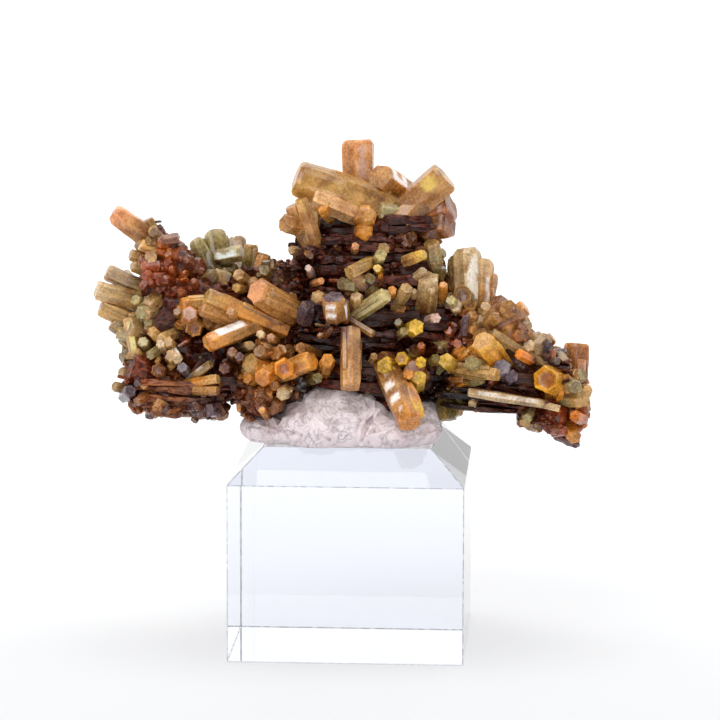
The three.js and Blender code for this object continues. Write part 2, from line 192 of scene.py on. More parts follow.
def paint(mesh, tints, grains):
    """Stores each point's colour, and its place in its own crystal, where the material finds them."""
    tint = mesh.attributes.new("tint", "FLOAT_COLOR", "POINT")
    tint.data.foreach_set("color", tints.astype(np.float32).ravel())
    grain = mesh.attributes.new("grain", "FLOAT_VECTOR", "POINT")
    grain.data.foreach_set("vector", grains.astype(np.float32).ravel())


def with_fourth(tints, values):
    """Colours from 0 to 1, with a value of each point's own as the fourth number."""
    return np.concatenate([np.clip(tints, 0, 1), values[:, None]], axis=1)


EDGE_ANGLE = math.radians(30)


def finished(name, mesh, material, smooth):
    """A mesh as an object of the scene that rides on the model."""
    mesh.materials.append(material)
    mesh.shade_smooth()
    if not smooth:
        mesh.set_sharp_from_angle(angle=EDGE_ANGLE)
    made = bpy.data.objects.new(name, mesh)
    bpy.context.scene.collection.objects.link(made)
    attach(made, "root")
    return made


# Crystals: tip and root in the picture, depths of tip and root, width, twist, colour, and what is special, if
# anything:
#   tip, end, pit       colours towards the tip, of the end, and inside a hollow end, darker there as painted shade
#   dome, hollow        how worn the end is, as a share of the width, and how deep its hollow is in mm
#   flute               how deep the lengthwise flutes are, as a share of the width
#   glint, gleam        how strongly a facet is painted with a reflection of the light, and in which colour
#   face                the way that facet faces, as seen in the picture: right, up, towards the viewer
#   shine, cover, bands from where to where along the crystal the painted reflection lies, how fully, and in
#   how many blocks
CROWN = [
    ((357, 141), (360, 226), (1.6, 1.2), 3.9, 0.52, TAN,
     {"tip": PEACH, "painted_glint": 0.55, "painted_gleam": PINK, "face": (0.4, 0.1, 1.0), "painted_shine": (0.5, 0.95),
      "cover": 0.9}),
    ((296, 177), (398, 213), (-3.0, -1.4), 4.4, 0.35, HONEY, {"dome": 0.2}),
    ((312, 198), (378, 223), (-4.0, -2.6), 2.7, 0.45, WHEAT),
    ((378, 176), (408, 198), (-2.2, 2.2), 3.5, 0.35, GOLD,
     {"tip": TAN, "painted_glint": 1.0, "face": (0.45, 0.55, 0.8), "painted_shine": (0.38, 0.88), "cover": 1.6}),
    ((445, 176), (384, 228), (-2.8, -1.0), 3.9, 0.2, BRONZE,
     {"tip": BRASS, "painted_glint": 0.9, "painted_gleam": LEMON, "face": (-0.2, 0.2, 1.0), "painted_shine": (0.68, 0.92),
      "cover": 1.3}),
    ((451, 206), (405, 224), (-1.4, 0.8), 4.4, 0.5, CHESTNUT, {"dome": 0.25}),
    ((450, 225), (412, 228), (-2.2, 0.4), 3.6, 0.5, RUSSET, {"dome": 0.2}),
    ((434, 236), (416, 224), (-2.8, -0.4), 2.6, 0.5, UMBER, {"dome": 0.2}),
    ((367, 215), (372, 219), (-6.4, -1.0), 2.6, 0.3, GOLD, {"dome": 0.45, "tip": APRICOT}),
    ((365, 230), (372, 228), (-6.0, -1.0), 2.2, 0.5, GOLD, {"dome": 0.35}),
    ((378, 211), (408, 217), (-3.8, -2.0), 2.3, 0.1, PALE_OLIVE),
    ((400, 225), (420, 204), (-3.6, -1.8), 3.0, 0.3, TAN),
    ((384, 192), (388, 212), (-2.2, -1.0), 1.5, 0.3, TAN),
    ((321, 205), (330, 218), (-4.8, -2.0), 1.9, 0.2, TAN, {"tip": GOLD}),
    ((300, 199), (319, 250), (-4.6, -3.0), 1.7, 0.1, TAN, {"tip": STRAW}),
    ((291, 206), (308, 246), (-4.2, -2.6), 1.7, 0.4, TAN),
    ((285, 224), (314, 228), (-5.0, -1.2), 2.4, 0.5, TAN),
    ((312, 206), (314, 240), (-3.6, -2.2), 1.5, 0.3, STRAW),
    ((352, 198), (362, 218), (9.2, 1.0), 3.0, 0.3, TAN),
    ((416, 200), (392, 222), (8.0, 1.0), 2.8, 0.3, TAN),
    ((322, 206), (366, 224), (7.0, 0.5), 2.7, 0.3, STRAW),
]

NECK = [
    ((333, 297), (335, 319), (-7.4, -6.0), 2.7, 0.12, TAN,
     {"end": LILAC, "dome": 0.05, "painted_glint": 1.0, "face": (-0.3, 0.0, 1.0), "painted_shine": (0.25, 0.93), "cover": 1.7,
      "bands": 1}),
    ((344, 301), (345, 322), (-7.2, -5.6), 1.1, 0.1, TAN,
     {"end": LILAC, "dome": 0.05, "painted_glint": 1.0, "face": (0.1, 0.0, 1.0), "painted_shine": (0.2, 0.93), "cover": 1.7}),
    ((317, 297), (326, 300), (-6.8, -3.0), 1.6, 0.3, BEIGE),
    ((386, 295), (352, 317), (-7.4, -4.4), 1.9, 0.1, PALE_OLIVE, {"dome": 0.08}),
    ((356, 296), (356, 314), (-6.4, -4.0), 1.6, 0.3, BEIGE),
    ((416, 327), (420, 326), (-7.8, -2.0), 2.0, 0.5, YELLOW, {"dome": 0.12}),
    ((404, 331), (396, 338), (-6.6, -3.0), 1.1, 0.5, PALE_OLIVE),
    ((349, 273), (370, 262), (-6.6, -4.2), 1.7, 0.2, STRAW, {"dome": 0.06}),
    ((381, 255), (376, 256), (-6.0, -3.0), 1.5, 0.2, PALE_OLIVE, {"dome": 0.06}),
    ((431, 242), (436, 276), (-3.8, -1.8), 1.9, 0.2, PALE_OLIVE, {"tip": STRAW}),
    ((428, 277), (425, 308), (-5.0, -2.6), 2.8, 0.52, BEIGE, {"tip": SILVER, "dome": 0.08}),
    ((424, 254), (404, 262), (-5.4, -4.0), 1.5, 0.3, STRAW, {"tip": YELLOW}),
    ((424, 270), (406, 285), (-5.6, -3.8), 1.1, 0.3, SILVER),
    ((407, 288), (396, 306), (-6.2, -3.8), 1.6, 0.3, BEIGE, {"dome": 0.08}),
    ((440, 266), (430, 296), (-2.8, -1.8), 1.8, 0.3, OLIVE),
    ((355, 246), (357, 246), (-5.6, -2.0), 1.0, 0.3, PEACH),
    ((384, 248), (384, 256), (-5.2, -2.0), 1.5, 0.3, BEIGE),
    ((321, 281), (324, 281), (-6.6, -3.0), 0.9, 0.3, PEACH),
    ((392, 290), (394, 294), (-6.2, -3.0), 1.2, 0.3, GOLD),
    ((414, 291), (415, 292), (-6.0, -3.0), 0.8, 0.3, SILVER, {"dome": 0.4}),
    ((443, 284), (443, 298), (-4.8, -3.0), 1.1, 0.3, GOLD),
    ((291, 250), (300, 252), (-5.0, -2.0), 1.0, 0.3, SILVER, {"painted_glint": 0.6}),
    ((308, 268), (312, 268), (-5.4, -2.0), 0.9, 0.3, PINK),
    ((377, 268), (380, 272), (-5.6, -3.0), 1.1, 0.2, YELLOW),
    ((373, 334), (350, 320), (-6.8, -5.4), 0.9, 0.2, BEIGE, {"dome": 0.05}),
    ((308, 305), (304, 322), (-5.6, -4.2), 1.9, 0.2, DUSK, {"dome": 0.1}),
    ((436, 318), (430, 314), (-5.6, -3.0), 1.3, 0.2, PINK),
    ((466, 316), (464, 334), (-4.8, -3.6), 0.9, 0.2, LILAC),
    ((398, 322), (404, 318), (-6.0, -3.0), 1.0, 0.2, OLIVE),
    ((450, 300), (446, 306), (-5.0, -3.0), 1.3, 0.2, PALE_OLIVE),
    ((421, 345), (428, 340), (-6.2, -3.0), 1.0, 0.2, RUST),
]

LEFT_FAN = [
    ((113, 213), (158, 245), (-1.4, 0.0), 2.6, 0.5, TAN, {"tip": CORAL, "dome": 0.35}),
    ((147, 220), (160, 244), (-0.4, 0.4), 1.6, 0.3, BEIGE),
    ((106, 273), (146, 290), (-0.6, 0.4), 2.0, 0.2, BEIGE, {"tip": SILVER}),
    ((96, 290), (146, 303), (-1.8, -0.4), 2.3, 0.4, BEIGE, {"tip": SILVER}),
    ((100, 307), (146, 328), (-1.2, 0.0), 2.2, 0.3, STRAW),
    ((112, 322), (146, 344), (-0.6, 0.2), 2.2, 0.1, BEIGE),
    ((121, 336), (148, 352), (0.4, 0.6), 2.0, 0.5, PALE_OLIVE),
    ((129, 318), (136, 358), (-3.4, -2.6), 1.5, 0.2, STRAW,
     {"painted_glint": 1.0, "painted_gleam": PRIMROSE, "face": (-0.1, 0.0, 1.0), "painted_shine": (0.0, 0.95), "cover": 1.8}),
    ((108, 296), (148, 312), (5.0, 1.0), 2.2, 0.3, BEIGE),
    ((124, 276), (148, 300), (3.6, 0.6), 1.9, 0.3, BEIGE),
    ((137, 244), (154, 252), (-1.2, 0.0), 1.5, 0.3, STRAW),
    ((130, 255), (154, 262), (-1.0, 0.0), 1.5, 0.3, BEIGE),
    ((132, 266), (156, 274), (-1.2, 0.0), 1.6, 0.3, STRAW),
    ((135, 300), (148, 308), (-3.2, -1.0), 1.4, 0.3, PALE_OLIVE),
    ((140, 318), (150, 322), (-3.2, -1.0), 1.5, 0.3, PALE_OLIVE),
]

OLIVE_CLUSTER = [
    ((195, 240), (214, 276), (2.6, 2.0), 2.3, 0.5, OLIVE, {"tip": PALE_OLIVE, "dome": 0.4}),
    ((214, 231), (222, 278), (3.4, 2.2), 3.1, 0.1, OLIVE, {"tip": PALE_OLIVE, "dome": 0.4, "flute": 0.06}),
    ((242, 253), (216, 258), (-0.6, 0.4), 1.9, 0.5, PALE_OLIVE,
     {"painted_glint": 1.0, "painted_gleam": FROST, "face": (0.0, 0.15, 1.0), "painted_shine": (0.06, 0.94), "cover": 1.3}),
    ((238, 238), (240, 274), (4.6, 3.0), 2.0, 0.3, BEIGE, {"dome": 0.3}),
    ((251, 245), (248, 280), (2.6, 2.4), 2.0, 0.2, OLIVE, {"tip": BEIGE, "dome": 0.3}),
    ((264, 254), (256, 282), (2.4, 2.4), 1.8, 0.4, BEIGE),
    ((277, 262), (258, 284), (2.4, 2.4), 1.5, 0.3, BEIGE),
    ((232, 246), (238, 272), (9.0, 3.2), 2.6, 0.3, OLIVE),
    ((226, 266), (230, 280), (0.6, 2.0), 2.6, 0.3, OLIVE, {"dome": 0.3, "end": DARK_OLIVE}),
]

LEFT_FRONT = [
    ((206, 297), (286, 331), (-6.4, -3.2), 2.3, 0.2, GOLD, {"tip": STRAW}),
    ((200, 309), (262, 330), (-6.6, -3.4), 1.9, 0.4, TAN),
    ((181, 306), (212, 303), (-5.4, -4.0), 1.8, 0.3, STRAW, {"tip": GOLD}),
    ((256, 291), (300, 316), (-7.2, -2.2), 3.2, 0.3, TAN, {"tip": TAN, "end": SALMON, "dome": 0.10}),
    ((207, 344), (262, 322), (-8.2, -3.6), 2.3, 0.15, TAN,
     {"tip": GOLD, "dome": 0.3, "painted_glint": 1.0, "painted_shine": (0.36, 0.86), "cover": 1.8}),
    # This crystal's pink end is a painted reflection.
    ((190, 314), (194, 322), (-7.2, -2.0), 2.0, 0.5, PEACH, {"end": PINK, "dome": 0.35}),
    ((194, 330), (197, 322), (-5.8, -2.0), 2.2, 0.3, TAN, {"hollow": 0.4}),
    ((230, 312), (236, 318), (-7.4, -4.0), 1.3, 0.3, TAN, {"dome": 0.4}),
    ((218, 379), (170, 388), (-6.6, -3.4), 1.2, 0.2, GOLD, {"tip": STRAW}),
    ((218, 391), (174, 391), (-6.8, -3.6), 1.2, 0.5, TAN),
    ((211, 364), (182, 386), (-6.2, -3.4), 1.0, 0.3, BEIGE, {"painted_glint": 0.5}),
    ((238, 275), (248, 282), (-4.6, -1.0), 1.5, 0.3, STRAW),
    ((236, 288), (248, 290), (-4.4, -1.0), 1.2, 0.3, STRAW),
    ((158, 371), (162, 372), (-6.4, -3.0), 1.7, 0.3, RUSSET, {"hollow": 0.4}),
    ((171, 356), (176, 358), (-6.6, -3.0), 1.6, 0.3, STRAW, {"painted_glint": 0.9, "dome": 0.1}),
    ((182, 368), (186, 366), (-6.6, -3.0), 1.3, 0.3, LILAC, {"painted_glint": 0.9, "dome": 0.1}),
    ((168, 342), (174, 344), (-6.2, -3.0), 1.4, 0.3, STRAW),
    ((160, 344), (166, 352), (-6.4, -4.0), 1.2, 0.3, SILVER, {"painted_glint": 0.7}),
    ((178, 360), (172, 350), (-6.6, -4.2), 1.3, 0.3, SILVER, {"painted_glint": 1.0}),
    ((152, 332), (160, 340), (-6.0, -4.0), 1.3, 0.3, STRAW),
    ((114, 387), (130, 390), (-1.4, 0.0), 1.2, 0.3, BEIGE),
    ((121, 373), (132, 374), (-1.4, 0.0), 1.3, 0.3, SILVER),
    ((131, 391), (136, 390), (-4.6, -1.0), 1.6, 0.3, LILAC, {"dome": 0.3}),
    ((162, 415), (164, 404), (-3.0, -1.0), 1.1, 0.3, BEIGE),
    ((224, 418), (216, 404), (-2.0, -1.0), 1.6, 0.3, RUSSET),
    ((224, 369), (230, 362), (-7.0, -3.0), 1.5, 0.3, MAROON, {"painted_glint": 1.0, "dome": 0.1}),
    ((239, 357), (244, 352), (-7.0, -3.0), 1.2, 0.3, MAROON, {"painted_glint": 1.0, "dome": 0.1}),
    ((232, 352), (240, 348), (-7.0, -3.0), 1.3, 0.3, RUSSET, {"painted_glint": 0.8}),
    ((260, 334), (262, 340), (-6.4, -3.0), 1.1, 0.3, SILVER, {"painted_glint": 0.6}),
    ((250, 346), (256, 350), (-6.6, -3.0), 1.3, 0.3, BEIGE),
    ((270, 338), (272, 344), (-6.0, -3.0), 1.3, 0.3, TAN),
    ((160, 340), (176, 334), (-5.8, -3.0), 1.5, 0.2, BEIGE),
    ((150, 356), (164, 346), (-5.4, -3.0), 1.2, 0.2, PALE_OLIVE),
    ((143, 342), (148, 350), (-4.4, -2.0), 1.4, 0.2, PALE_OLIVE),
]

CENTRE_FRONT = [
    ((411, 423), (383, 360), (-10.6, -5.0), 3.2, 0.5, TAN,
     {"tip": GOLD, "end": COPPER, "dome": 0.14, "painted_glint": 1.0, "painted_gleam": BLUSH, "face": (-0.35, 0.0, 1.0),
      "painted_shine": (0.25, 0.90), "cover": 1.1, "bands": 3}),
    ((418, 416), (405, 388), (-10.2, -7.6), 2.3, 0.3, GOLD, {"tip": YELLOW, "dome": 0.25}),
    ((351, 388), (350, 330), (-9.2, -6.4), 2.5, 0.5, TAN, {"dome": 0.12}),
    ((401, 358), (408, 364), (-8.0, -3.4), 1.6, 0.1, YELLOW, {"hollow": 0.3, "dome": 0.1}),
    ((421, 362), (418, 364), (-8.0, -3.4), 1.4, 0.4, YELLOW, {"dome": 0.1}),
    ((419, 377), (418, 372), (-8.2, -3.4), 1.8, 0.3, YELLOW, {"dome": 0.1}),
    ((408, 374), (410, 372), (-8.4, -3.4), 1.3, 0.6, GOLD, {"dome": 0.1}),
    ((413, 369), (414, 366), (-7.6, -3.4), 2.6, 0.1, RUSSET, {"dome": 0.2}),
    ((384, 366), (386, 362), (-8.2, -4.4), 2.0, 0.5, YELLOW, {"dome": 0.2}),
    ((248, 363), (276, 374), (-7.0, -4.0), 2.4, 0.2, GOLD, {"tip": STRAW}),
    ((262, 378), (280, 368), (-7.4, -4.0), 2.3, 0.3, GOLD),
    ((284, 369), (284, 368), (-8.6, -4.0), 2.5, 0.5, GOLD, {"hollow": 0.7}),
    ((312, 360), (278, 374), (-8.2, -5.2), 2.3, 0.1, TAN, {"tip": GOLD}),
    ((328, 360), (324, 372), (-9.0, -4.0), 1.8, 0.0, GOLD),
    ((300, 348), (318, 354), (-7.8, -4.0), 1.3, 0.3, TAN),
    ((374, 356), (376, 356), (-7.8, -4.0), 0.9, 0.3, STRAW),
    ((282, 395), (288, 388), (-8.0, -4.0), 1.7, 0.3, SILVER, {"painted_glint": 0.6, "dome": 0.35}),
    ((262, 410), (266, 404), (-7.6, -4.0), 0.9, 0.3, GOLD),
    ((272, 408), (278, 398), (-5.0, -3.0), 2.4, 0.3, RUSSET),
    # The next four near-black prisms are painted shade, filling the shadowed gap between the specimen and the
    # putty.
    ((290, 401), (298, 386), (-3.4, -2.0), 3.2, 0.3, PAINTED_SHADE),
    ((300, 397), (306, 384), (-3.0, -2.0), 3.0, 0.3, PAINTED_SHADE),
    ((270, 412), (280, 396), (-1.0, -0.5), 3.0, 0.3, PAINTED_SHADE),
    ((433, 404), (430, 392), (0.5, 1.0), 3.0, 0.3, PAINTED_SHADE),
    ((445, 360), (448, 356), (-7.4, -3.0), 1.8, 0.3, YELLOW),
    ((436, 358), (440, 356), (-6.8, -3.0), 1.2, 0.3, OLIVE),
    ((318, 378), (322, 372), (-8.4, -4.0), 1.3, 0.3, OLIVE),
]

RIGHT_FAN = [
    ((466, 247), (472, 324), (-0.8, -0.6), 4.2, 0.35, SILVER,
     {"dome": 0.5, "flute": 0.05, "painted_glint": 0.8, "painted_gleam": CREAM, "face": (0.25, 0.1, 1.0), "painted_shine": (0.3, 0.9),
      "cover": 0.9}),
    ((484, 258), (480, 318), (-1.2, -0.8), 2.7, 0.1, TAN,
     {"tip": SILVER, "dome": 0.5, "flute": 0.05, "painted_glint": 0.6}),
    ((491, 272), (482, 318), (-0.6, -0.4), 1.9, 0.5, RUSSET, {"tip": TAN, "dome": 0.4}),
    ((455, 256), (462, 310), (1.2, 0.4), 2.4, 0.3, BEIGE, {"dome": 0.5}),
    ((476, 262), (472, 314), (3.6, 0.6), 2.6, 0.3, SILVER),
    ((462, 294), (466, 302), (-4.2, -0.6), 2.4, 0.2, BEIGE, {"hollow": 0.7}),
    ((470, 304), (474, 314), (-4.0, -1.0), 1.5, 0.2, STRAW, {"hollow": 0.3}),
    ((455, 305), (460, 312), (-4.4, -1.0), 1.6, 0.2, SILVER),
    ((496, 304), (500, 342), (-1.2, -0.6), 2.9, 0.3, RUSSET, {"tip": COCOA, "dome": 0.5, "flute": 0.05}),
    ((508, 311), (507, 342), (-0.8, 0.0), 2.5, 0.1, RUSSET, {"dome": 0.4, "flute": 0.05}),
    ((498, 322), (504, 338), (-3.4, -1.4), 2.8, 0.3, GOLD, {"dome": 0.4}),
    ((488, 318), (492, 334), (-2.8, -1.4), 1.8, 0.3, TAN, {"dome": 0.4}),
    ((516, 322), (514, 340), (-1.8, -0.6), 1.5, 0.3, LILAC),
    ((504, 322), (504, 338), (5.4, 0.4), 2.4, 0.3, RUSSET),
    ((479, 318), (483, 332), (-4.0, -2.0), 1.3, 0.3, BEIGE),
]

RIGHT_WING = [
    ((482, 340), (504, 372), (-6.6, -2.6), 2.7, 0.4, MARIGOLD, {"tip": SAFFRON, "end": TOFFEE}),
    ((492, 332), (552, 368), (-5.2, -2.8), 1.2, 0.2, BEIGE),
    ((545, 379), (568, 384), (-6.6, -1.0), 3.2, 0.5, GOLD,
     {"tip": AMBER, "pit": DARK_AMBER, "dome": 0.06, "hollow": 0.8}),
    ((572, 386), (556, 380), (-4.4, -2.0), 2.2, 0.2, TAN),
    ((577, 343), (574, 402), (0.6, 0.4), 3.3, 0.2, RUSSET, {"tip": CINNAMON, "flute": 0.05}),
    ((566, 348), (566, 390), (1.4, 0.8), 1.7, 0.3, RUSSET, {"dome": 0.4}),
    ((583, 398), (560, 396), (-4.4, -1.2), 2.3, 0.3, PALE_OLIVE, {"tip": STRAW}),
    ((566, 380), (556, 384), (-5.0, -2.2), 1.9, 0.3, TAN, {"tip": STRAW}),
    ((588, 391), (570, 388), (-3.4, -1.2), 1.7, 0.3, STRAW),
    ((498, 375), (450, 367), (-6.4, -3.4), 1.7, 0.2, STRAW),
    ((470, 362), (486, 368), (-6.2, -3.4), 1.9, 0.5, PALE_OLIVE),
    ((468, 392), (548, 404), (-6.4, -5.6), 1.1, 0.5, SILVER, {"painted_glint": 0.5, "painted_shine": (0.1, 0.9)}),
    ((560, 408), (520, 399), (-6.0, -5.2), 0.9, 0.3, BEIGE, {"tip": SILVER}),
    ((448, 420), (446, 390), (-2.6, -2.0), 2.1, 0.2, OLIVE),
    ((457, 416), (452, 390), (-1.6, -1.2), 1.9, 0.5, BEIGE),
    ((529, 345), (532, 352), (-4.4, -1.0), 1.6, 0.3, BEIGE),
    ((537, 335), (538, 345), (-1.4, 0.0), 1.5, 0.3, BEIGE),
    ((520, 330), (524, 340), (-1.6, 0.0), 1.4, 0.3, LILAC),
    ((476, 409), (480, 396), (-3.6, -2.0), 1.3, 0.3, BEIGE),
    ((525, 423), (528, 412), (-2.8, -1.0), 1.4, 0.3, STRAW),
    ((574, 437), (570, 425), (-3.8, -1.0), 1.8, 0.3, GOLD),
    ((502, 367), (508, 369), (-6.0, -2.0), 2.2, 0.3, LILAC, {"dome": 0.1}),
    ((512, 376), (514, 374), (-5.8, -2.0), 1.7, 0.3, LILAC, {"dome": 0.1}),
    ((518, 353), (532, 360), (-5.6, -4.0), 1.3, 0.3, FLAME),
    ((560, 390), (566, 392), (-5.0, -2.0), 1.3, 0.3, GOLD),
    ((575, 415), (568, 410), (-4.2, -2.0), 1.5, 0.3, FLAME),
    ((527, 418), (532, 410), (-3.2, -1.6), 1.3, 0.3, PALE_OLIVE),
    ((472, 405), (476, 396), (-5.2, -3.0), 1.1, 0.3, SILVER),
]

BACK = [
    ((338, 262), (352, 284), (14.0, 4.0), 3.4, 0.2, TAN, {"tip": STRAW}),
    ((372, 250), (360, 280), (12.0, 4.0), 2.8, 0.3, STRAW),
    ((318, 284), (350, 290), (11.6, 4.0), 2.4, 0.3, GOLD),
    ((362, 300), (356, 290), (13.2, 4.0), 2.6, 0.5, PEACH),
    ((214, 330), (234, 345), (10.4, 2.0), 2.9, 0.4, BEIGE),
    ((244, 312), (242, 345), (9.2, 2.0), 2.4, 0.3, STRAW),
    ((256, 352), (240, 350), (10.8, 2.0), 2.2, 0.3, TAN),
    ((486, 345), (478, 362), (10.4, 2.0), 3.0, 0.1, RUSSET),
    ((512, 362), (484, 368), (8.4, 2.0), 2.4, 0.3, TAN),
    ((462, 366), (474, 368), (10.6, 2.0), 2.2, 0.5, GOLD),
]

# How the barite is coloured from place to place, with painted shade and painted glow in a few places: centre
# in the picture, reach in pixels, colour
REGIONS = [
    # The orange slab at the upper left and the matrix beside it
    # The bright orange spots at (164, 252) and (181, 275) are painted glow, light shining through thin
    # barite, over its own orange.
    ((160, 262), 20, (0.27, 0.036, 0.004)), ((164, 252), 9, FLAME), ((181, 275), 8, (0.60, 0.15, 0.006)),
    ((172, 288), 14, (0.20, 0.03, 0.006)), ((152, 226), 9, (0.12, 0.055, 0.035)),
    ((170, 242), 9, (0.11, 0.045, 0.03)), ((186, 262), 8, (0.14, 0.05, 0.03)),
    ((160, 305), 14, (0.08, 0.014, 0.008)), ((204, 286), 20, (0.16, 0.035, 0.012)),
    ((262, 282), 20, (0.16, 0.06, 0.03)),
    # The lower left mass
    ((170, 330), 16, (0.16, 0.05, 0.02)), ((140, 372), 18, (0.26, 0.05, 0.015)),
    ((205, 355), 16, (0.06, 0.01, 0.006)), ((160, 396), 26, (0.32, 0.11, 0.035)),
    ((206, 400), 14, (0.12, 0.06, 0.05)), ((230, 388), 12, (0.06, 0.010, 0.005)),
    ((262, 396), 16, (0.26, 0.07, 0.010)), ((268, 368), 20, (0.34, 0.14, 0.03)),
    ((276, 338), 14, (0.09, 0.02, 0.01)),
    # The right shoulder, the wing and its tip
    ((500, 325), 20, (0.24, 0.09, 0.02)), ((496, 350), 16, (0.30, 0.14, 0.03)),
    ((530, 345), 18, (0.12, 0.06, 0.04)), ((522, 372), 14, (0.16, 0.05, 0.02)),
    # The near-black region at (447, 389) is painted shade in a deep cavity.
    ((505, 392), 18, (0.10, 0.022, 0.010)), ((447, 389), 22, (0.004, 0.001, 0.001)),
    # The bright orange spot at (574, 420) is painted glow on the wing's orange tip.
    ((566, 412), 16, (0.34, 0.042, 0.003)), ((574, 420), 8, FLAME), ((556, 428), 12, (0.22, 0.05, 0.02)),
    # The stack in the middle
    ((400, 342), 34, (0.045, 0.010, 0.005)), ((452, 338), 14, (0.13, 0.02, 0.006)),
    # The dark regions at (300, 350) and (322, 240) are painted shade in cavities.
    ((300, 350), 20, (0.04, 0.01, 0.006)), ((380, 262), 46, (0.085, 0.018, 0.009)),
    ((322, 240), 20, (0.05, 0.010, 0.008)),
]
GROUND_WEIGHT = 0.12


def barite_tints(points):
    """The barite's colour at each point in mm, a soft blend of the regions."""
    places = picture_places(points)
    total = np.full(len(points), GROUND_WEIGHT)
    colours = np.tile(np.array(MAROON) * GROUND_WEIGHT, (len(points), 1))
    for centre, reach, colour in REGIONS:
        weight = nearness(places, centre, reach)
        total += weight
        colours += weight[:, None] * np.array(colour)
    return colours / total[:, None]


# Striated hexagonal prisms
SIDE_STEPS = 6
RING_SPACING = 0.45
STRIATION_DEPTH = 0.04
FLUTE_TURNS = 4.5
STEP_DROP = 0.06
STEP_SLOPE = 0.12
SOFTNESS = 0.12
# How rough a crystal is: its broad lumps and its end as shares of the width, and its fine texture
LUMP_SHARE = 0.022
END_SHARE = 0.03
TEXTURE_SHARE = 0.014
TEXTURE_SIZE = 0.3
# The way a facet faces by default where a reflection is painted on it: right, up, towards the viewer
LIGHT_CATCH = (-0.15, 0.55, 1.0)
# Rings of a prism's end, inside its rim: girth, and share of a hollow's depth
END_GIRTHS = np.array([0.80, 0.55, 0.28])
END_DEPTHS = np.array([0.65, 0.9, 1.0])


def crystal_axes(start, end, twist, face=None):
    """Two directions across a crystal and the one along it. A facet can be turned to face a given way."""
    along = unit(end - start)
    aside = unit(np.cross(along, UP + 0.3 * AWAY))
    other = np.cross(along, aside)
    if face is not None:
        wanted = in_view(face)
        twist = math.atan2(wanted @ other, wanted @ aside) - math.pi / 6
    turned = aside * math.cos(twist) + other * math.sin(twist)
    return turned, np.cross(along, turned), along


def in_view(direction):
    """A direction given as seen in the picture: right, up and towards the viewer."""
    right, up, near = direction
    return RIGHT * right + UP * up - AWAY * near


def prism_profile(length, width, dome, hollow, fine):
    """Heights along a crystal and its girth at each, from the root round the worn rim to the end's middle."""
    drop = min(dome * width, 0.45 * length)
    taken = min(dome * 1.05, 0.6)
    body = np.linspace(0, length - drop, max(3, int(length / RING_SPACING)))
    swell = 0.94 + 0.06 * np.sin(np.linspace(0.2, 2.2, len(body)))
    bend = np.radians([15, 45, 85])
    rim = length - drop * (1 - np.sin(bend))
    rim_girth = swell[-1] * (1 - taken * (1 - np.cos(bend)))
    shown = slice(0, 3) if fine else slice(1, 2)
    inner = END_GIRTHS[shown] * rim_girth[-1]
    floor = length - hollow * END_DEPTHS[shown]
    return np.concatenate([body, rim, floor]), np.concatenate([swell, rim_girth, inner]), len(body)


def prism_reach(heights, girths, length, width, angle, flute, random):
    """How far each point lies from the axis: a soft hexagon with striae, flutes and growth steps in it."""
    sides = len(angle)
    hexagon = math.cos(math.pi / 6) / np.cos(np.mod(angle, math.pi / 3) - math.pi / 6)
    outline = width / 2 * ((1 - SOFTNESS) * hexagon + SOFTNESS * 0.95)
    grooves = blended(random.normal(size=(4, sides)), heights / length)
    grooves = STRIATION_DEPTH * np.minimum(width / 2, 1) * np.abs(grooves)
    grooves += flute * width * np.abs(np.sin(angle * FLUTE_TURNS + 0.6))[None, :]
    on_side = np.arange(sides) * 6 // sides
    step_height = random.uniform(0.35, 1.3, 6)[on_side] * length
    step_drop = random.uniform(0.0, STEP_DROP, 6)[on_side] * width
    steps = step_drop / (1 + np.exp(-(heights[:, None] - step_height) / STEP_SLOPE))
    return outline * girths[:, None] - (grooves + steps) * np.minimum(girths, 1)[:, None] ** 3


def roughen(local, place, width, end_part):
    """Gives a prism's points broad lumps and a fine texture, and its end a roughness of its own."""
    lumps = LUMP_SHARE * width * field(place, 0.5 * width, 1)
    lumps = lumps + TEXTURE_SHARE * np.minimum(width, 2) * field(place, TEXTURE_SIZE, 2)
    local[:, :2] *= 1 + (lumps / (width / 2))[:, None]
    local[:, 2] += np.where(end_part, END_SHARE * width * field(place, 0.3 * width, 3), 0.0)


def add_prism(shapes, start, end, width, twist, colour, special, seed, side_steps=SIDE_STEPS):
    """Adds one striated prism, barrel-shaped and stepped, with a worn or hollow end."""
    random = np.random.default_rng(seed)
    across, other, along = crystal_axes(start, end, twist, special.get("face"))
    length = np.linalg.norm(end - start)
    sides = 6 * side_steps
    dome = special.get("dome", random.uniform(0.10, 0.24))
    fine = side_steps == SIDE_STEPS
    heights, girths, body_rings = prism_profile(length, width, dome, special.get("hollow", 0.0), fine)
    rings = len(heights)
    angle = np.arange(sides) / sides * 2 * math.pi
    reach = prism_reach(heights, girths, length, width, angle, special.get("flute", 0.0), random)
    local = np.stack([
        reach * np.cos(angle),
        reach * np.sin(angle),
        np.broadcast_to(heights[:, None], reach.shape),
    ], axis=2).reshape(-1, 3)
    place = local + random.uniform(0, 200, 3)
    roughen(local, place, width, np.repeat(np.arange(rings) >= body_rings, sides))
    caps = np.array([[0, 0, 0], [0, 0, local[-sides:, 2].mean()]])
    local = np.concatenate([local, caps])
    points = start + local[:, :1] * across + local[:, 1:2] * other + local[:, 2:] * along
    tints = prism_tints(local, length, angle, rings, body_rings, colour, special, random, (across, other))
    shapes.add(points, tube_faces(rings, sides), tints, local + place[0] - local[0])


def blended(controls, places):
    """Rows of values that pass smoothly from one row of controls to the next."""
    position = np.clip(places, 0, 1) * (len(controls) - 1)
    low = np.minimum(position.astype(int), len(controls) - 2)
    part = (position - low)[:, None]
    return controls[low] * (1 - part) + controls[low + 1] * part


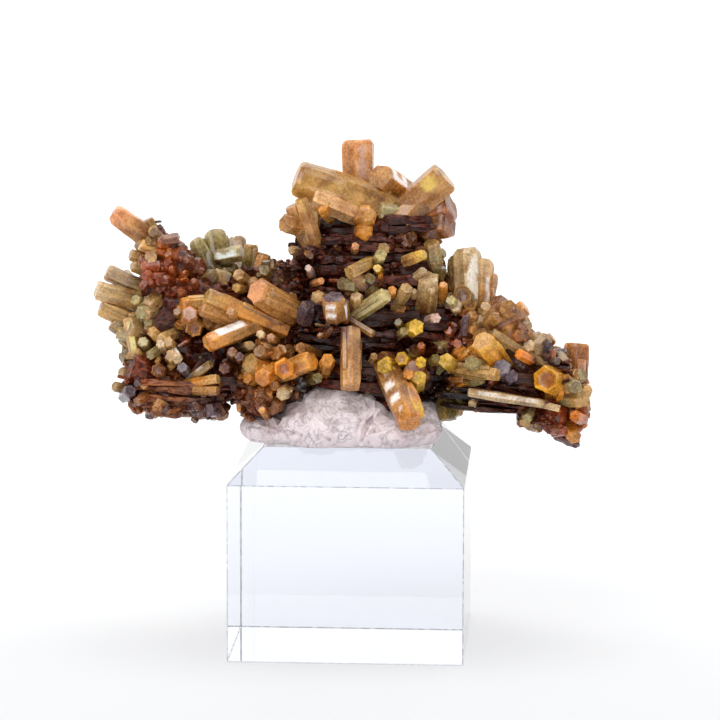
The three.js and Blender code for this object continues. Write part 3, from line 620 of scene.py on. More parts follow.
def tube_faces(rings, sides):
    """Faces of a closed tube whose two middle points come last."""
    faces = []
    foot = rings * sides
    last = (rings - 1) * sides
    for j in range(sides):
        k = (j + 1) % sides
        for ring in range(rings - 1):
            base = ring * sides
            faces.append((base + j, base + k, base + sides + k, base + sides + j))
        faces.append((foot, k, j))
        faces.append((foot + 1, last + j, last + k))
    return faces


PAINTED_FACET_SHADING = 0.22
PAINTED_EDGE_HIGHLIGHT = 0.30
HOLLOW_SHADE = (0.55, 0.35, 0.22)
PAINTED_GLINT_MARK = 4.0


def prism_tints(local, length, angle, rings, body_rings, colour, special, random, axes):
    """Each point's colour, with its rise from root to tip as the fourth number."""
    sides = len(angle)
    rise = np.clip(local[:, 2] / length, 0, 1)
    shade = 1 + random.uniform(-0.12, 0.12)
    tints = np.tile(np.array(colour) * shade, (len(local), 1))
    tip_share = np.clip((rise - 0.55) / 0.45, 0, 1)[:, None]
    tints = tints * (1 - tip_share) + np.array(special.get("tip", colour)) * (1.1 * shade) * tip_share
    # Each facet a little lighter or darker and each corner lighter: painted light and shade on the facets,
    # painted highlights along the edges.
    facet_shading = 1 + random.uniform(-PAINTED_FACET_SHADING, PAINTED_FACET_SHADING, 6)[(angle // (math.pi / 3)).astype(int) % 6]
    corners = (0.5 + 0.5 * np.cos(6 * angle)) ** 6
    tints[:rings * sides] *= np.tile(facet_shading * (1 + PAINTED_EDGE_HIGHLIGHT * corners), rings)[:, None]
    end_points = np.arange(len(local)) >= (body_rings + 2) * sides
    end_points[-2] = False
    tints[end_points] = special.get("end", tints[end_points] * random.uniform(0.75, 1.10))
    # The inside of a hollow end is darker: painted shade.
    if "hollow" in special:
        pit = np.arange(len(local)) >= (body_rings + 4) * sides
        pit[-2] = False
        tints[pit] = special.get("pit", np.array(colour) * HOLLOW_SHADE)
    if "painted_glint" in special:
        tints, rise = with_glint(tints, local, angle, rings, rise, corners, special, random, axes)
    return with_fourth(tints, rise)


def with_glint(tints, local, angle, rings, rise, corners, special, random, axes):
    """Paints a reflection of the light on the facet that faces it, bright within its rim: a painted
    highlight. A rise above 1 marks the paint.
    """
    catch = in_view(special.get("face", LIGHT_CATCH))
    middle = (angle // (math.pi / 3) + 0.5) * math.pi / 3
    score = np.cos(middle) * (axes[0] @ catch) + np.sin(middle) * (axes[1] @ catch)
    on_facet = (score > score.max() - 1e-6) * np.clip(1.6 - 2.6 * corners, 0, 1)
    noise = field(local * [1.2, 1.2, 0.8] + 60, 1.0, int(random.integers(1000)))
    patches = np.clip(special.get("cover", 1.1) + 2.6 * noise, 0, 1)
    first, last = special.get("painted_shine", (0.25, 0.85))
    amount = np.zeros(len(local))
    amount[:rings * len(angle)] = np.tile(on_facet, rings)
    amount *= patches * np.clip((rise - first) * 15, 0, 1) * np.clip((last - rise) * 15, 0, 1)
    turns = special.get("bands", 0) * 2 * math.pi * (rise - first) / (last - first)
    amount *= np.clip(0.95 + 2.5 * np.cos(turns), 0, 1)
    amount = special["painted_glint"] * np.clip((amount - 0.15) * 3, 0, 1)
    bright = tints * (1 - amount[:, None]) + np.array(special.get("painted_gleam", WHITE)) * amount[:, None]
    return bright, rise + PAINTED_GLINT_MARK * amount


SHORT_IN_PICTURE = 9.0
LEAN_SEED = 500
BUNDLE_SEED = 90000


def leaning_root(tip, root, special, random):
    """Moves the root aside where a crystal would point straight at the viewer, so that its sides show."""
    run = math.hypot(tip[0] - root[0], tip[1] - root[1])
    if run > SHORT_IN_PICTURE or "hollow" in special:
        return root
    turn = random.uniform(-1.3, 1.3)
    return tip[0] + SHORT_IN_PICTURE * math.sin(turn), tip[1] + SHORT_IN_PICTURE * math.cos(turn)


BUNDLED_WIDTH = 1.6


def add_bundle(shapes, start, end, width, twist, colour, special, seed):
    """Thinner crystals grown along a stout one, a little shorter and partly sunk in it."""
    random = np.random.default_rng(seed + BUNDLE_SEED)
    across, other, along = crystal_axes(start, end, twist)
    for _ in range(random.integers(1, 4)):
        turn = random.uniform(0, 2 * math.pi)
        thin = width * random.uniform(0.30, 0.55)
        beside = (across * math.cos(turn) + other * math.sin(turn)) * (width * 0.47 - thin * 0.30)
        top = start + (end - start) * random.uniform(0.45, 0.93)
        foot = start + (end - start) * random.uniform(0.0, 0.15)
        lean = (across * random.normal() + other * random.normal()) * 0.05 * width
        shade = random.uniform(0.75, 1.15)
        plain = {"tip": tuple(shade * part for part in special.get("tip", colour)), "dome": 0.25}
        add_prism(shapes, foot + beside, top + beside + lean, thin, random.uniform(0, 1),
                  tuple(shade * part for part in colour), plain, seed + BUNDLE_SEED + 1, side_steps=3)


def new_seed(random):
    return int(random.integers(1 << 30))


def add_crystals(shapes, crystals, seed):
    for number, (tip, root, depth, width, twist, colour, *specials) in enumerate(crystals):
        special = specials[0] if specials else {}
        random = np.random.default_rng(seed + LEAN_SEED + number)
        start = seen(leaning_root(tip, root, special, random), depth[1])
        end = seen(tip, depth[0])
        add_prism(shapes, start, end, width, twist, colour, special, seed + number)
        if width > BUNDLED_WIDTH and "face" not in special and "hollow" not in special:
            add_bundle(shapes, start, end, width, twist, colour, special, seed + number)


# The barite stack: the specimen's left and right edge at heights down the picture
STACK_EDGES = [
    (224, 324, 438), (240, 294, 436), (256, 292, 438), (270, 312, 440), (284, 310, 446), (300, 298, 454),
    (320, 296, 462), (340, 290, 466), (360, 274, 462), (380, 278, 456), (400, 298, 440),
]


def stack_edges(down):
    rows = np.array(STACK_EDGES, dtype=float)
    return np.interp(down, rows[:, 0], rows[:, 1]), np.interp(down, rows[:, 0], rows[:, 2])


# A blade's rim: its broad waves and its teeth in mm, and how much its thickness changes, as a share
RIM_WAVES = 0.20
RIM_TEETH = 0.12
THICKNESS_CHANGE = 0.45
FIBRE_DEPTH = 0.10
# A blade's rings from its underside round the rim: inset as a share of the thickness, and height from -1 to 1
BLADE_SECTION = [(0.7, -1.0), (0.12, -0.95), (0.0, -0.4), (0.03, 0.3), (0.10, 0.9), (0.7, 1.0)]


def add_blade(shapes, centre, along, inward, half_length, half_depth, thick, random, corners, brightness):
    """Adds one thin barite blade with a ragged, worn edge."""
    normal = np.cross(along, inward)
    angle = (np.arange(corners) + random.uniform(-0.3, 0.3, corners)) / corners * 2 * math.pi
    c, s = np.cos(angle), np.sin(angle)
    reach = (np.abs(c) ** 4 + np.abs(s) ** 4) ** -0.25
    side = np.outer(c * reach * half_length, along) + np.outer(s * reach * half_depth, inward)
    out = np.linalg.norm(side, axis=1)
    rim = centre + side
    ragged = (RIM_WAVES * field(rim, 2.4, 61) + RIM_TEETH * layered(rim, 0.8, 62, 2)) * min(half_depth, 2.0)
    wide = 1 + (ragged - 0.1) / out
    half = thick / 2 * (1 + THICKNESS_CHANGE * field(rim, 1.1, 62))
    rings = []
    for inset, rise in BLADE_SECTION:
        shrink = wide - inset * thick / out
        rings.append(centre + side * np.maximum(shrink, 0.2)[:, None] + np.outer(half * rise, normal))
    points = np.concatenate(rings + [[centre - normal * thick / 2, centre + normal * thick / 2]])
    fibre = points @ np.stack([along * 0.35, inward * 1.4, normal * 1.8], axis=1)
    points = points + FIBRE_DEPTH * min(thick, 0.6) * np.outer(layered(fibre, 0.35, 63, 2), normal + inward)
    tints = barite_tints(points) * brightness
    tints = with_fourth(tints, np.zeros(len(points)))
    shapes.add(points, tube_faces(len(rings), corners), tints, fibre + random.uniform(0, 200, 3))


def add_plate(shapes, ends, near, far, thick, lean, random):
    """Adds a blade that is seen edge-on between two places in the picture."""
    middle = (near + far) / 2
    start = seen(ends[0], middle)
    end = seen(ends[1], middle)
    along = unit(end - start)
    inward = AWAY + UP * lean
    inward = unit(inward - along * (inward @ along))
    half_length = np.linalg.norm(end - start) / 2
    corners = int(40 + 5 * half_length)
    add_blade(shapes, (start + end) / 2, along, inward, half_length, (far - near) / 2, thick, random, corners,
              random.uniform(0.6, 1.5))


STACK_ROWS = (224, 402, 5.2)
# Rows of blades outside the stack: rows down the picture, where a blade begins and ends across it, how far
# its two ends lie above and below the row, depth of its near edge, and thickness
WINGS = [
    ((384, 412, 4.0), (126, 165), (180, 222), (1.5, 2.5), (-6.0, -4.2), (0.3, 0.9)),
    ((366, 404, 3.4), (428, 480), (505, 562), (3, 5), (-5.4, -3.2), (0.25, 0.8)),
]


def add_stack_plates(shapes, random):
    """Blades edge-on to the front, row upon row, from under the crown to the putty."""
    for down in np.arange(*STACK_ROWS):
        left, right = stack_edges(down)
        span = right - left
        for _ in range(3):
            width = span * random.uniform(0.25, 0.8)
            begin = left + (span - width) * random.uniform(0, 1)
            tilt = random.normal() * 2.0
            row = down + random.normal() * 1.4
            near = random.uniform(-5.6, -2.0) - 0.6 * random.random() * (down > 320)
            ends = ((begin, row + tilt), (begin + width, row - tilt))
            add_plate(shapes, ends, near, random.uniform(4.0, 7.6), random.uniform(0.35, 1.15),
                      random.normal() * 0.10, random)


def add_wing_plates(shapes, random):
    """Blades of the lower left mass and of the right wing, which slopes down to the right."""
    for rows, begins, ends, (above, below), nears, thicks in WINGS:
        for down in np.arange(*rows):
            for _ in range(2):
                begin = random.uniform(*begins)
                end = random.uniform(*ends)
                near = random.uniform(*nears)
                places = ((begin, down - above), (end, down + below))
                add_plate(shapes, places, near, random.uniform(2.5, 4.5), random.uniform(*thicks),
                          random.normal() * 0.08, random)


def along_crystal(points, crystal):
    """Each point's height along a crystal and distance beside its axis, and its root, length and radius."""
    tip, root, depth, width = crystal[:4]
    start = seen(root, depth[1])
    end = seen(tip, depth[0])
    along = unit(end - start)
    height = (points - start) @ along
    beside = np.linalg.norm(points - start - height[:, None] * along, axis=1)
    return height, beside, start, np.linalg.norm(end - start), width / 2


def nearest_crystal_gap(points, crystals):
    """How far each point lies outside the nearest crystal's side, in mm."""
    gap = np.full(len(points), 1e3)
    for crystal in crystals:
        height, beside, _, length, radius = along_crystal(points, crystal)
        beyond = np.maximum(np.maximum(-height, height - length), 0)
        gap = np.minimum(gap, np.hypot(np.maximum(beside - radius, 0), beyond))
    return gap


def surface_samples(mesh, count, random):
    """Points spread evenly over a mesh, with the normals there, in mm."""
    mesh.calc_loop_triangles()
    places = mesh_points(mesh)[0]
    corners = np.empty(len(mesh.loop_triangles) * 3, dtype=np.int32)
    mesh.loop_triangles.foreach_get("vertices", corners)
    a, b, c = places[corners.reshape(-1, 3)].transpose(1, 0, 2)
    cross = np.cross(b - a, c - a)
    area = np.linalg.norm(cross, axis=1)
    chosen = random.choice(len(area), count, p=area / area.sum())
    first, second = random.random(count), random.random(count)
    fold = first + second > 1
    first, second = np.where(fold, 1 - first, first), np.where(fold, 1 - second, second)
    points = a[chosen] + first[:, None] * (b - a)[chosen] + second[:, None] * (c - a)[chosen]
    return points, cross[chosen] / area[chosen][:, None]


def open_samples(count, crystals, clearance, lowest, random):
    """Points and normals on the specimen that are clear of the larger crystals, the putty and the block."""
    points, normals = surface_samples(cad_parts["mineral_specimen"].data, count, random)
    kept = (nearest_crystal_gap(points, crystals + DIVIDED) > clearance) & ~in_seat(points)
    kept &= points[:, 2] > BLOCK_HEIGHT + lowest
    return points[kept], normals[kept]


GRAIN_COUNT = 4200
GRAIN_COLOURS = [TAN, GOLD, RUSSET, BEIGE, RUSSET, OLIVE, RUST]
GRAIN_CLEARANCE = 0.20
GRAIN_LOWEST = 0.5
GRAIN_BASE_SHARE = 0.16
GRAIN_TINT_SHARE = 0.42
# Where pyromorphite grains are more or less common: centre and reach in the picture, and change of share
GRAIN_SHARES = [
    ((172, 262), 34, -0.30), ((380, 245), 60, -0.10), ((400, 340), 45, -0.10), ((510, 392), 30, -0.15),
    ((266, 372), 22, 0.45), ((490, 345), 28, 0.35), ((568, 420), 30, -0.15), ((160, 350), 18, 0.20),
    ((540, 356), 22, 0.15), ((160, 395), 34, -0.05), ((455, 292), 20, 0.40), ((400, 300), 26, 0.15),
    ((180, 368), 20, 0.20),
]


def grain_shares(points):
    """How much of the grain cover is pyromorphite at each point, from 0 to 1. It grows in clusters."""
    places = picture_places(points)
    share = np.full(len(points), GRAIN_BASE_SHARE)
    for centre, reach, amount in GRAIN_SHARES:
        share += amount * nearness(places, centre, reach)
    return np.clip(share * (1 + 1.6 * field(points, 2.4, 70)), 0.0, 0.9)


# Places that are almost free of barite chips: centre and reach in the picture
SMOOTH_PLACES = [((172, 262), 40), ((158, 230), 18), ((196, 290), 26), ((568, 422), 26), ((160, 332), 20)]
SMOOTH_AMOUNT = 0.95
CHIP_COVER = 0.8
CHIP_CORNERS = 9


def chip_cover(points):
    """How much of the rest has loose chips on it, from 0 to 1."""
    places = picture_places(points)
    cover = np.full(len(points), CHIP_COVER)
    for centre, reach in SMOOTH_PLACES:
        cover *= 1 - SMOOTH_AMOUNT * nearness(places, centre, reach)
    return cover


# Crusts of short crystals grown into each other: centre in the picture, reach in pixels, how many, width and
# colours. Without colours they are rounded lumps of barite.
CRUSTS = [
    ((126, 318), 24, 34, 1.7, (PALE_OLIVE, BEIGE, STRAW)), ((140, 350), 13, 16, 1.3, (PALE_OLIVE, STRAW)),
    ((164, 357), 13, 26, 1.2, (TAN, STRAW, STRAW)), ((148, 236), 9, 10, 1.0, (BEIGE, TAN)),
    ((145, 256), 11, 14, 1.2, (BEIGE, STRAW)), ((224, 268), 12, 12, 1.4, (OLIVE, OLIVE, BEIGE)),
    ((254, 268), 18, 30, 1.2, (BEIGE, OLIVE, TAN)), ((240, 282), 8, 8, 1.1, (STRAW, TAN)),
    ((190, 318), 13, 22, 1.2, (TAN, GOLD, STRAW)), ((212, 316), 13, 16, 1.2, (GOLD, TAN)),
    ((250, 338), 17, 30, 1.0, (TAN, RUSSET, BEIGE)), ((268, 368), 22, 60, 1.3, (GOLD, TAN, GOLD, PALE_OLIVE)),
    ((300, 366), 17, 26, 1.3, (GOLD, TAN)), ((322, 372), 13, 18, 1.2, (TAN, OLIVE)),
    ((268, 402), 13, 26, 1.1, (GOLD, RUSSET, RUSSET)), ((150, 392), 20, 26, 1.0, (RUSSET, TAN, LILAC)),
    ((206, 402), 16, 22, 1.1, (RUSSET, LILAC, MAROON)), ((310, 232), 14, 16, 1.2, (TAN, RUSSET)),
    ((372, 222), 16, 18, 1.3, (GOLD, TAN)), ((420, 236), 20, 30, 1.2, (RUSSET, TAN, RUSSET)),
    ((428, 268), 17, 26, 1.3, (PALE_OLIVE, STRAW, BEIGE)), ((436, 292), 14, 20, 1.2, (PALE_OLIVE, TAN)),
    ((366, 290), 15, 20, 1.2, (PALE_OLIVE, TAN)), ((400, 296), 14, 16, 1.2, (TAN, BEIGE)),
    ((350, 300), 12, 12, 1.1, (TAN, LILAC)), ((316, 310), 11, 14, 1.2, (DUSK, LILAC)),
    ((460, 304), 15, 26, 1.2, (BEIGE, PALE_OLIVE, RUSSET)), ((480, 322), 13, 20, 1.1, (TAN, BEIGE)),
    ((502, 330), 19, 26, 1.8, (RUSSET, TAN, RUSSET)), ((490, 352), 17, 30, 1.4, (GOLD, STRAW)),
    ((530, 340), 17, 26, 1.4, (BEIGE, LILAC, TAN)), ((552, 356), 13, 18, 0.9, (DUSK, BEIGE)),
    ((470, 366), 19, 30, 1.1, (STRAW, PALE_OLIVE, GOLD)), ((508, 370), 13, 18, 1.2, (LILAC, DUSK)),
    ((566, 388), 19, 34, 1.3, (GOLD, TAN, PALE_OLIVE)), ((578, 402), 11, 14, 1.2, (PALE_OLIVE, STRAW)),
    ((566, 420), 18, 50, 1.05, ()), ((572, 432), 10, 5, 1.2, (GOLD, RUST)),
    ((534, 412), 17, 18, 0.9, (RUSSET, BEIGE)), ((412, 368), 18, 50, 1.0, (YELLOW, GOLD, RUSSET, YELLOW)),
    ((440, 358), 13, 18, 1.2, (YELLOW, PALE_OLIVE)), ((380, 366), 13, 16, 1.2, (YELLOW, RUSSET)),
    ((450, 408), 15, 18, 1.4, (OLIVE, BEIGE)), ((452, 338), 13, 18, 1.0, (RUST, MAROON)),
    ((170, 268), 30, 95, 1.05, ()),
]
CRUST_SAMPLES = 40000
CRUST_SEED = 4000
CRUST_CLEARANCE = 0.3
CRUST_LOWEST = 0.8
FACING_AWAY = 0.15
GROWTH_MIDDLE = np.array([350, 330, 0])


def add_crusts(shapes, crystals, random):
    """Patches of short blunt crystals, grown into each other on the matrix."""
    points, normals = open_samples(CRUST_SAMPLES, crystals, CRUST_CLEARANCE, CRUST_LOWEST, random)
    in_front = normals @ AWAY < FACING_AWAY
    points, normals = points[in_front], normals[in_front]
    places = picture_places(points)
    tints = barite_tints(points)
    for number, (centre, reach, count, width, colours) in enumerate(CRUSTS):
        random = np.random.default_rng(CRUST_SEED + number)
        near = np.flatnonzero(np.linalg.norm(places - np.array(centre), axis=1) < reach)
        trend = unit(np.array(centre + (0,)) - GROWTH_MIDDLE)
        growth = RIGHT * trend[0] - UP * trend[1] - AWAY * 0.8
        for index in random.permutation(near)[:count]:
            lean = unit(0.6 * normals[index] + 0.5 * growth + random.normal(size=3) * 0.45)
            size = width * random.uniform(0.5, 1.4)
            colour = 1.1 * tints[index]
            special = {"dome": 0.5}
            if colours:
                colour = 0.85 * np.array(colours[random.integers(len(colours))]) + 0.15 * tints[index]
                special = {"dome": random.uniform(0.04, 0.22)}
            colour = colour * random.uniform(0.6, 1.15)
            foot = points[index] - lean * 0.9 * size
            top = points[index] + lean * size * random.uniform(-0.2, 0.8)
            add_prism(shapes, foot, top, size, random.uniform(0, 1), colour, special, new_seed(random),
                      side_steps=2)


def add_grain(shapes, point, normal, tint, random):
    """Adds one small crystal that stands in the matrix, coloured partly as the matrix is."""
    lean = unit(0.7 * normal + 0.35 * UP + random.normal(size=3) * 0.6)
    colour = np.array(GRAIN_COLOURS[random.integers(len(GRAIN_COLOURS))])
    colour = (1 - GRAIN_TINT_SHARE) * colour + GRAIN_TINT_SHARE * tint
    add_prism(shapes, point - lean, point + lean * random.uniform(-0.1, 0.6), random.uniform(0.35, 1.05),
              random.uniform(0, 1), colour, {"dome": 0.4}, new_seed(random), side_steps=2)


def add_chip(shapes, point, normal, random):
    """Adds one small, nearly level flake of barite."""
    flat = unit(UP * 1.2 + random.normal(size=3) * 0.45)
    along = unit(np.cross(flat, random.normal(size=3)))
    size = random.uniform(0.35, 1.0)
    add_blade(shapes, point - normal * 0.35 * size, along, np.cross(flat, along), size,
              size * random.uniform(0.5, 0.9), random.uniform(0.16, 0.42), random, CHIP_CORNERS,
              random.uniform(0.5, 1.7))


def add_grains(small_crystals, chips, crystals, random):
    """Small crystals and barite chips all over the matrix, where no larger crystal stands."""
    points, normals = open_samples(GRAIN_COUNT, crystals, GRAIN_CLEARANCE, GRAIN_LOWEST, random)
    shares = grain_shares(points)
    tints = barite_tints(points)
    chip_shares = chip_cover(points)
    for point, normal, share, chip_share, tint in zip(points, normals, shares, chip_shares, tints):
        if random.random() < share:
            add_grain(small_crystals, point, normal, tint, random)
        elif random.random() < chip_share:
            add_chip(chips, point, normal, random)


# The seat on the putty: its sides in the picture, its top over the block, and its reach back and forth
SEAT_SIDES = (262, 430)
SEAT_TOP = 5.0
SEAT_REACH = 8.0


def in_seat(points):
    """True for points on the underside, where the putty holds the specimen."""
    across = picture_places(points)[:, 0]
    inside = (across > SEAT_SIDES[0]) & (across < SEAT_SIDES[1])
    return inside & (points[:, 2] < BLOCK_HEIGHT + SEAT_TOP) & (np.abs(points[:, 1]) < SEAT_REACH)


def remeshed(node, name, voxel, smoothing):
    """A finely remeshed copy of a CAD node's mesh."""
    copy = bpy.data.objects.new(name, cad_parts[node].data.copy())
    bpy.context.scene.collection.objects.link(copy)
    remesh = copy.modifiers.new("Remesh", "REMESH")
    remesh.mode = "VOXEL"
    remesh.voxel_size = voxel * MM
    if smoothing:
        smooth = copy.modifiers.new("Smooth", "SMOOTH")
        smooth.iterations = smoothing
        smooth.factor = 0.5
    evaluated = copy.evaluated_get(bpy.context.evaluated_depsgraph_get())
    mesh = bpy.data.meshes.new_from_object(evaluated)
    bpy.data.objects.remove(copy)
    mesh.materials.clear()
    return mesh


def mesh_points(mesh):
    """A mesh's points in mm and its normals."""
    points = np.empty(len(mesh.vertices) * 3)
    mesh.vertices.foreach_get("co", points)
    normals = np.empty(len(mesh.vertices) * 3)
    mesh.vertices.foreach_get("normal", normals)
    return points.reshape(-1, 3) / MM, normals.reshape(-1, 3)


# The matrix is a fine copy of the solid, set back, roughened and pitted. The crystals that the solid has are
# drawn in to their roots in it.
MATRIX_VOXEL = 0.32
MATRIX_SETBACK = 0.42
MATRIX_ROUGHNESS = 0.30
PIT_START = 0.25
PIT_DEPTH = 1.1
DRAWN_IN = 0.12
DRAWN_REACH = 0.40
# Crystals of the solid that the scene divides into smaller ones, or draws a little aside: tip and root in
# the picture, depths of tip and root, width
DIVIDED = [
    ((380, 168), (404, 212), (0.2, 0.4), 3.6), ((303, 196), (378, 221), (-4.0, -2.6), 2.6),
    ((333, 309), (336, 302), (-7.6, -2.4), 2.8), ((345, 309), (342, 302), (-7.2, -2.4), 1.4),
    ((411, 369), (414, 364), (-8.6, -3.4), 4.3), ((229, 259), (236, 268), (-1.4, 4.4), 2.6),
    ((444, 177), (384, 228), (-2.8, -1.0), 3.9), ((484, 256), (478, 316), (-1.0, -0.8), 2.5),
    ((462, 294), (466, 302), (-4.2, -0.6), 2.4), ((442, 287), (442, 292), (-4.6, -1.0), 1.1),
    ((404, 262), (430, 254), (-5.4, -2.6), 1.4), ((407, 284), (420, 300), (-6.2, -2.8), 1.7),
    ((447, 211), (405, 224), (-1.4, 0.8), 4.2), ((468, 392), (545, 403), (-5.6, -2.6), 1.4),
]


def drawn_in(points, crystals):
    """Pulls the points on each crystal in towards its root, so that only the detailed crystal shows."""
    moved = points.copy()
    for crystal in crystals:
        height, beside, start, length, radius = along_crystal(points, crystal)
        on_it = (height > 0) & (height < length + DRAWN_REACH) & (beside < radius + DRAWN_REACH)
        moved[on_it] = start + (points[on_it] - start) * DRAWN_IN
    return moved


def barite_body(material, crystals):
    """The mass of barite behind the blades and grains, pitted and crumbly."""
    mesh = remeshed("mineral_specimen", "barite_body", MATRIX_VOXEL, 0)
    points, normals = mesh_points(mesh)
    relief = layered(points, 1.3, 5, 4)
    pits = np.clip(layered(points, 2.6, 40, 2) - PIT_START, 0, 1)
    rough = points + normals * (MATRIX_ROUGHNESS * relief - MATRIX_SETBACK - PIT_DEPTH * pits)[:, None]
    drawn = drawn_in(points, crystals + DIVIDED)
    on_crystal = np.any(drawn != points, axis=1)
    moved = np.where(on_crystal[:, None], drawn, rough)
    mesh.vertices.foreach_set("co", (moved * MM).ravel())
    tints = barite_tints(moved) * (1.0 + 0.4 * field(points, 0.7, 90))[:, None]
    tints = with_fourth(tints, np.zeros(len(points)))
    paint(mesh, tints, points)
    return finished("barite_body", mesh, material, False)


# Putty
PUTTY_VOXEL = 0.155
RIDGE_SPACING = 0.47
PUTTY_DENTS = 0.26
SEAT_GAP = 0.01
# Where fingers pressed: the whorl's centre in the picture, its reach in pixels, and how far it is pressed in
FINGER_PRESSES = [
    ((348, 409), 36, 0.10), ((300, 424), 24, 0.08), ((262, 430), 26, 0.12), ((438, 420), 30, 0.10),
]
# Folds: start and end in the picture, and depth
PUTTY_FOLDS = [
    ((376, 408), (362, 441), 0.55), ((276, 412), (288, 444), 0.40), ((300, 398), (306, 428), 0.45),
    ((262, 424), (300, 436), 0.22), ((304, 428), (298, 446), 0.30), ((392, 424), (372, 432), 0.30),
    ((330, 424), (352, 420), 0.28), ((404, 436), (430, 430), 0.25), ((296, 402), (268, 418), 0.25),
    ((364, 396), (372, 412), 0.30), ((252, 426), (284, 434), 0.20), ((410, 404), (420, 420), 0.25),
]


def facing_viewer(normals):
    """How squarely each normal faces the viewer, from 0 to 1."""
    return np.clip(-(normals @ AWAY) * 1.6, 0, 1)


def fold_relief(places, wander, facing):
    """Narrow creases along lines in the picture."""
    relief = np.zeros(len(places))
    for start, end, depth in PUTTY_FOLDS:
        first, last = np.array(start, dtype=float), np.array(end, dtype=float)
        run = last - first
        part = np.clip(((places - first) @ run) / (run @ run), 0, 1)
        away = np.linalg.norm(places - first - part[:, None] * run, axis=1) + wander
        relief += facing * depth * (0.5 * np.exp(-((away - 3.6) / 2.2) ** 2) - np.exp(-(away / 1.9) ** 2))
    return relief


def finger_prints(points, normals):
    """Each point's distance from the nearest whorl's middle in mm, how firm the print is, and how deep."""
    places = picture_places(points)
    facing = facing_viewer(normals)
    scale = VIEW_DISTANCE / VIEW_FOCAL_PIXELS
    prints = np.zeros((len(points), 3))
    for centre, reach, depth in FINGER_PRESSES:
        offset = places - np.array(centre)
        slanted = np.stack([offset[:, 0] - 0.5 * offset[:, 1], 1.5 * offset[:, 1]], axis=1)
        away = np.linalg.norm(slanted, axis=1)
        firm = np.clip(1.4 - 1.2 * away / reach, 0, 1) * facing
        firmer = firm > prints[:, 1]
        prints[firmer, 0] = away[firmer] * scale
        prints[firmer, 1] = firm[firmer]
        prints[firmer, 2] = depth * firm[firmer]
    prints[:, 0] += 0.9 * field(points, 3.2, 330)
    return prints


def putty_relief(points, normals, prints):
    """How far the putty's surface stands out at each point: dents, creases and finger presses."""
    facing = facing_viewer(normals)
    relief = PUTTY_DENTS * layered(points, 3.0, 300, 4)
    relief += fold_relief(picture_places(points), 2.4 * field(points, 1.4, 320), facing)
    return relief - prints[:, 2]


def putty_piece(material):
    mesh = remeshed("putty", "putty_lump", PUTTY_VOXEL, 10)
    points, normals = mesh_points(mesh)
    prints = finger_prints(points, normals)
    moved = points + normals * putty_relief(points, normals, prints)[:, None]
    moved[:, 2] = np.maximum(moved[:, 2], BLOCK_HEIGHT + SEAT_GAP)
    near_base = points[:, 2] < BLOCK_HEIGHT + 0.12
    moved[near_base, 2] = BLOCK_HEIGHT + SEAT_GAP
    mesh.vertices.foreach_set("co", (moved * MM).ravel())
    paint(mesh, np.ones((len(points), 4)), prints)
    return finished("putty_lump", mesh, material, True)


class Material:
    """A material's nodes, with short calls that add and link them."""

    def __init__(self, name):
        self.material = bpy.data.materials.new(name)
        self.material.use_nodes = True
        self.nodes = self.material.node_tree.nodes
        self.shader = self.nodes["Principled BSDF"]

    def link(self, output, target):
        self.material.node_tree.links.new(output, target)

    def attribute(self, name, output):
        node = self.nodes.new("ShaderNodeAttribute")
        node.attribute_name = name
        return node.outputs[output]

    def stretched(self, vector, scale):
        node = self.nodes.new("ShaderNodeMapping")
        node.inputs["Scale"].default_value = scale
        self.link(vector, node.inputs["Vector"])
        return node.outputs["Vector"]

    def part(self, vector, axis):
        node = self.nodes.new("ShaderNodeSeparateXYZ")
        self.link(vector, node.inputs["Vector"])
        return node.outputs[axis]

    def noise(self, vector, scale, detail=3.0):
        node = self.nodes.new("ShaderNodeTexNoise")
        node.inputs["Scale"].default_value = scale
        node.inputs["Detail"].default_value = detail
        self.link(vector, node.inputs["Vector"])
        return node.outputs["Fac"]

    def spread(self, value, low, high, to_low=0.0, to_high=1.0):
        node = self.nodes.new("ShaderNodeMapRange")
        node.inputs["From Min"].default_value = low
        node.inputs["From Max"].default_value = high
        node.inputs["To Min"].default_value = to_low
        node.inputs["To Max"].default_value = to_high
        self.link(value, node.inputs["Value"])
        return node.outputs["Result"]

    def math(self, operation, *values):
        node = self.nodes.new("ShaderNodeMath")
        node.operation = operation
        for value, socket in zip(values, node.inputs):
            if isinstance(value, float):
                socket.default_value = value
            else:
                self.link(value, socket)
        return node.outputs[0]

    def times(self, first, second):
        return self.math("MULTIPLY", first, second)

    def mix(self, share, first, second, blend="MIX"):
        node = self.nodes.new("ShaderNodeMix")
        node.data_type = "RGBA"
        node.blend_type = blend
        for value, socket in zip((share, first, second), ("Factor_Float", "A_Color", "B_Color")):
            target = next(one for one in node.inputs if one.identifier == socket)
            if isinstance(value, (float, tuple)):
                target.default_value = value
            else:
                self.link(value, target)
        return next(one for one in node.outputs if one.identifier == "Result_Color")

    def bump(self, height, strength, distance):
        node = self.nodes.new("ShaderNodeBump")
        node.inputs["Strength"].default_value = strength
        node.inputs["Distance"].default_value = distance * MM
        self.link(height, node.inputs["Height"])
        self.link(node.outputs["Normal"], self.shader.inputs["Normal"])

    def set(self, **values):
        for name, value in values.items():
            self.shader.inputs[name.replace("_", " ")].default_value = value


